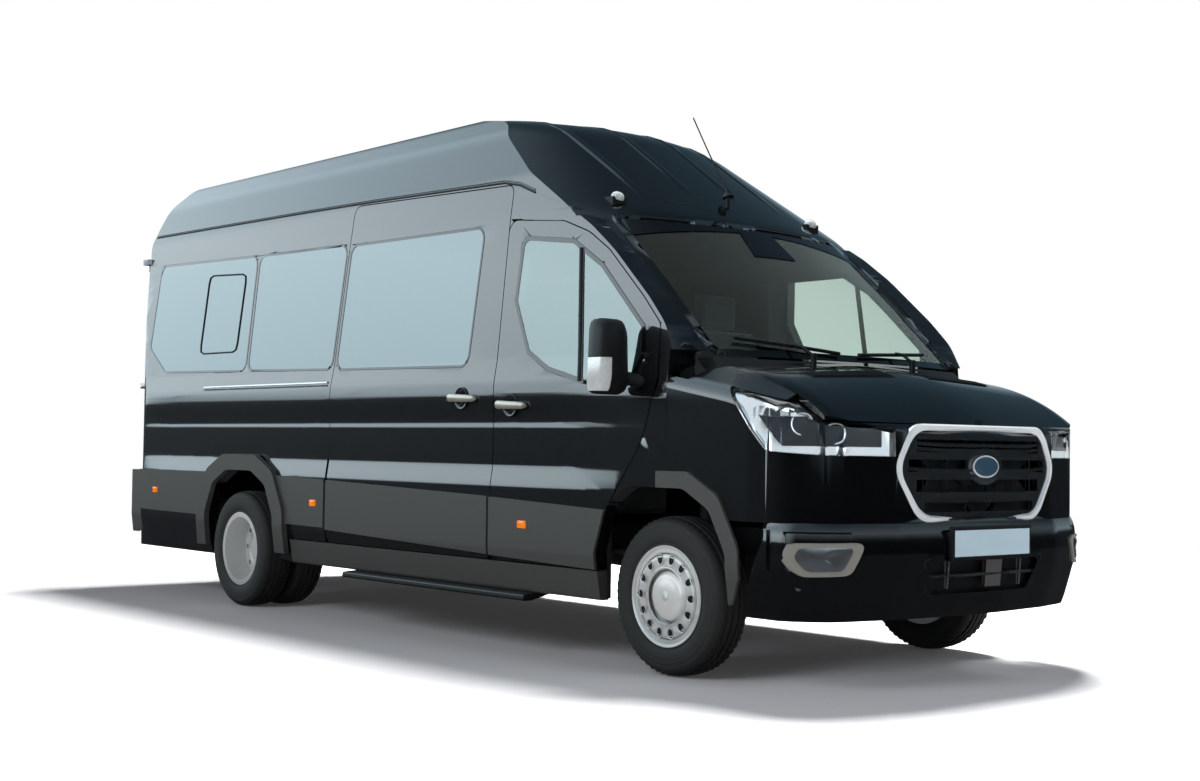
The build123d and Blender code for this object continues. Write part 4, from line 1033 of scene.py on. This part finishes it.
# Door handles: satin silver pull bars over round black finger dishes.
satin = finish("satin_silver_plastic", "#b6b1a6", 0.34, 0.7)
grain(satin, 1.5, 0.006, (0.28, 0.4), ("#b0aba0", "#c0bbb0"))
HANDLES = (
    ("front_door_right", "front_door_right", 1.13, 1.193, -1),
    ("front_door_left", "front_door_left", 1.13, 1.193, 1),
    ("sliding_door", "body", 0.72, 1.232, -1),
)
DISH_ROWS = ((0.056, 0.0005), (0.053, 0.004), (0.048, 0.0035), (0.044, -0.0015), (0.0006, -0.004))
# Pull bar: distance along it, half height, how far out it stands, and half its depth.
PULL_ROWS = (
    (-0.118, 0.008, 0.004, 0.004), (-0.114, 0.016, 0.012, 0.008),
    (-0.09, 0.0205, 0.019, 0.010), (-0.02, 0.0195, 0.024, 0.010),
    (0.06, 0.0185, 0.023, 0.010), (0.102, 0.0165, 0.018, 0.010), (0.116, 0.012, 0.011, 0.008),
    (0.120, 0.004, 0.004, 0.004),
)
for node, carrier, x, z, side in HANDLES:
    y = side_y(node, x, z, side)
    rows = []
    for radius, out in DISH_ROWS:
        row = []
        for i in range(40):
            t = 2 * math.pi * i / 40
            u, w = radius * math.cos(t), radius * math.sin(t)
            row.append((x - 0.008 + u, y + side * (out + 0.004), z + w))
        rows.append(row)
    dish = ribbon(f"{node}_handle_dish", rows)
    mounted(dish, carrier, "dark_trim", gloss_black, angle=50)
    rows = []
    for along, half_tall, out, deep in PULL_ROWS:
        row = []
        for i in range(16):
            t = 2 * math.pi * i / 16
            bulge = side * (out + deep * math.cos(t) * 0.8)
            row.append((x + along, y + bulge, z + half_tall * math.sin(t) - along * 0.03))
        rows.append(row)
    pull = ribbon(f"{node}_handle_bar", rows)
    capped(pull)
    mounted(pull, carrier, "silver_rail", satin, angle=50)

# Sliding door rail: bright extrusion with a slot, closed at both ends.
alloy = finish("brushed_alloy", "#c7cbcc", 0.25, 0.9)
grain(alloy, 0.8, 0.01, (0.2, 0.34), ("#c2c6c8", "#d0d4d5"), (1, 1, 12))
RAIL_Y = 1.0125
RAIL_STATIONS = (-2.112, -2.08, -1.4, -0.64, -0.602)
RAIL_SECTION = ((0.0, 1.3425), (0.0105, 1.3425), (0.0115, 1.3355), (0.004, 1.3345))
RAIL_SECTION += ((0.004, 1.3265), (0.0115, 1.3255), (0.0105, 1.3175), (0.0, 1.3175))
rows = [[(x, -(RAIL_Y + out), z) for x in RAIL_STATIONS] for out, z in RAIL_SECTION]
rail = ribbon("slide_rail_section", rows, closed=False, thick=0.0015, offset=-1.0)
mounted(rail, "body", "silver_rail", alloy, "slide_rail", angle=40)

# Side markers: small orange lenses on the cladding of the sides and the front doors.
GLOW = {"Emission_Color": linear("#ff7a00"), "Emission_Strength": 0.25}
amber = finish("amber_lens", "#f47a06", 0.2, Coat_Weight=0.8, **GLOW)
grain(amber, 6, 0.3, (0.15, 0.3), ("#f06a04", "#ff9418"))
MARKERS = (("side_mouldings", -2.75, 0.672), ("side_mouldings", -0.71, 0.655))
MARKERS += (("door_moulding", 1.24, 0.622),)
MARKER = [(0.033, 0.019), (-0.033, 0.019), (-0.033, -0.019), (0.033, -0.019)]
MARKER_ROWS = ((1.0, -0.001), (1.0, 0.004), (0.9, 0.0075), (0.55, 0.0085), (0.02, 0.009))
for side, name in SIDES:
    for number, (node, x, z) in enumerate(MARKERS):
        carrier = "body"
        if node == "door_moulding":
            carrier = f"front_door_{name}"
            node = f"door_moulding_{name}"
        y = side_y(node, x, z, side)
        rows = []
        for grow, out in MARKER_ROWS:
            corners = filleted(MARKER, 0.008, 4)
            rows.append([(x + u * grow, y + side * out, z + w * grow) for u, w in corners])
        marker = ribbon(f"side_marker_{name}_{number}", rows)
        mounted(marker, carrier, "lamp_lens", amber, angle=40)

# Tail lamps: tall red lenses down the rear posts, moulded in tinted acrylic.
GLOW = {"Emission_Color": linear("#c01018"), "Emission_Strength": 0.12}
ruby = finish("red_lens", "#b5121b", 0.12, Coat_Weight=1.0, **GLOW)
grain(ruby, 7, 0.3, (0.1, 0.22), ("#a60f18", "#c61a22"))
wear(ruby, "tail_lamps")

# Roof: pressed steel panel and cap in enamel, stiffened by four long shallow ribs, with a
# rain gutter down each side, a clear marker lamp over each end of the screen and an aerial.
ROOF = ("roof_panel", "roof_cap")
RIB_ROWS = ((-0.032, -0.002), (-0.02, 0.0045), (-0.006, 0.0062))
RIB_ROWS += ((0.006, 0.0062), (0.02, 0.0045), (0.032, -0.002))


def top_z(nodes, x, y, above, other):
    """Height of modelled nodes' face at a place, looked for from above, or another height."""
    hit = landed(nodes, (x, y, above), (0, 0, -1))
    return hit.z if hit else other


for number, y in enumerate((-0.49, -0.165, 0.165, 0.49)):
    rows = []
    for off, lift in RIB_ROWS:
        row = []
        for step in range(43):
            x = 1.47 - 0.1 * step
            top = top_z(ROOF, x, y + off, 3.2, 2.7)
            row.append((x, y + off, top + lift * min(1, step / 2, (42 - step) / 2)))
        rows.append(row)
    rib = ribbon(f"roof_rib_{number}", rows, closed=False)
    mounted(rib, "body", "body_paint", enamel, angle=60)
GUTTER = [(-3.08, 2.388), (-2.0, 2.372), (-1.0, 2.357), (-0.3, 2.343)]
GUTTER += [(0.4, 2.323), (0.921, 2.308), (1.05, 2.283), (1.18, 2.232)]
GUTTER_BEADS = (
    (0.0, 0.006, "gutter", "dark_trim", rubber_seal),
    (0.013, 0.0045, "gutter_edge", "body_paint", enamel),
)
for side, name in SIDES:
    nodes = (*ROOF, f"side_panel_{name}")
    for lift, radius, kind, slot, material in GUTTER_BEADS:
        path = []
        for x, z in GUTTER:
            hit = landed(nodes, (x, side * 2, z + lift), (0, -side, 0))
            if hit:
                path.append((x, hit.y, z + lift))
        line = tube(f"roof_{kind}_{name}", path, radius)
        mounted(line, "body", slot, material, angle=60)
wear(black_plastic, "roof_fittings")
DOME = [(0.0, 0.034), (0.012, 0.033), (0.022, 0.026), (0.029, 0.015), (0.031, 0.0004)]
for side, name in reversed(SIDES):
    place = Vector((1.497, side * 0.683, 2.199))
    dome = lathe(f"roof_marker_{name}", place, Vector((0.55, 0, 1)).normalized(), DOME, 24)
    mounted(dome, "body", "lamp_lens", signal, angle=60)
WHIP = [(1.562, 0, 2.29), (1.50, 0, 2.385), (1.40, 0, 2.545), (1.30, 0, 2.712)]
mounted(tube("aerial_whip", WHIP, 0.0035), "body", "dark_trim", black_plastic, angle=60)
FOOT = [(0, 0.03), (0.012, 0.026), (0.03, 0.011), (0.05, 0.006)]
lean = Vector((-0.3, 0, 1)).normalized()
foot = lathe("aerial_foot", Vector((1.565, 0, 2.268)), lean, FOOT, 24)
mounted(foot, "body", "dark_trim", black_plastic, angle=60)

# Bonnet vents: black moulded louvres let into the rear of the bonnet, four fins a side, over a dark
# sheet of painted shade where the openings are.
def bonnet_place(side, across, along, lift):
    """Place on a bonnet vent: outwards across it, forwards along it, and over the bonnet."""
    rear = 2.650 + (2.642 - 2.650) * across
    front = 2.756 + (2.712 - 2.756) * across
    x = rear + (front - rear) * along
    y = side * (0.11 + 0.512 * across)
    return x, y, top_z(("bonnet",), x, y, 3, 1.33) + lift


for side, name in SIDES:
    rows = []
    for along in (0.0, 0.33, 0.66, 1.0):
        rows.append([bonnet_place(side, step / 12, along, 0.0012) for step in range(13)])
    # Dark sheet laid on the bonnet under the fins: painted shade of the vent openings.
    louvre_shade = ribbon(f"bonnet_vent_{name}", rows, closed=False)
    mounted(louvre_shade, "bonnet", "dark_trim", shadow)
    for number in range(4):
        along = (number + 0.5) / 4
        path = [bonnet_place(side, 0.04 + 0.92 * step / 8, along, 0.003) for step in range(9)]
        fin = tube(f"bonnet_vent_fin_{name}_{number}", path, 0.0045)
        mounted(fin, "bonnet", "dark_trim", black_plastic, angle=60)

# Wipers: black pressed arms from spindles at the foot of the screen, with long flat blades
# that park low on the glass.
WIPERS = (
    ((-0.68, 1.482), (-0.13, 1.432), (2.478, -0.36, 1.42)),
    ((0.0, 1.432), (0.58, 1.462), (2.478, 0.33, 1.42)),
)
for number, (start, end, spindle) in enumerate(WIPERS):
    path = []
    for step in range(9):
        y = start[0] + (end[0] - start[0]) * step / 8
        z = start[1] + (end[1] - start[1]) * step / 8
        hit = landed(("windscreen",), (3.2, y, z), (-1, 0, 0))
        path.append((hit.x + 0.014 if hit else 2.44, y, z + 0.008))
    blade = tube(f"wiper_blade_{number}", path, 0.0085)
    mounted(blade, "body", "dark_trim", black_plastic, angle=60)
    x, y, z = path[4]
    crank = ((spindle[0] + x) / 2, (spindle[1] + y) / 2, (spindle[2] + z) / 2 + 0.018)
    arm = tube(f"wiper_arm_{number}", [spindle, crank, (x + 0.006, y, z + 0.006)], 0.0075)
    mounted(arm, "body", "dark_trim", black_plastic, angle=60)

# Cab: grained grey-black plastic dashboard and wheel rim, and front seats with foam under
# a woven charcoal cloth.
cab_plastic = finish("cab_plastic", "#1c1d1f", 0.6, Specular_IOR_Level=0.3)
grain(cab_plastic, 1.8, 0.06, (0.5, 0.68), ("#191a1c", "#232527"))
wear(cab_plastic, "dashboard", "steering_wheel")
cloth = finish("seat_weave", "#2a2c2f", 0.9, Sheen_Weight=0.35)
grain(cloth, 1.2, 0.12, (0.82, 0.95), ("#232528", "#35383c"), (1, 1, 2.2))
covers = lifted("seats", "seat_covers")
modified(covers, "BEVEL", width=0.012, segments=3, limit_method="ANGLE", angle_limit=math.radians(40))
mounted(covers, "body", "seat_cloth", cloth, "seats", angle=50)

# Chassis, seen from below: steel rails and springs in dull black wax, rough iron castings,
# a heat-stained exhaust and a blow-moulded black tank.
waxed = finish("chassis_wax", "#17181a", 0.62, Specular_IOR_Level=0.35)
grain(waxed, 14, 0.25, (0.5, 0.75), ("#141517", "#222325"))
wear(waxed, "chassis_rails", "front_subframe", "leaf_springs")
iron = finish("cast_iron", "#34332f", 0.7, 0.5)
grain(iron, 4, 0.3, (0.58, 0.8), ("#2b2a28", "#403c37"))
wear(iron, "engine", "driveline", "rear_axle", "front_knuckle_left", "front_knuckle_right")
stained = finish("exhaust_steel", "#75706a", 0.4, 0.85)
grain(stained, 30, 0.1, (0.32, 0.55), ("#6c645b", "#85827e"))
wear(stained, "exhaust")
moulded_tank = finish("tank_plastic", "#111214", 0.5)
grain(moulded_tank, 5, 0.15, (0.42, 0.6))
wear(moulded_tank, "fuel_tank")
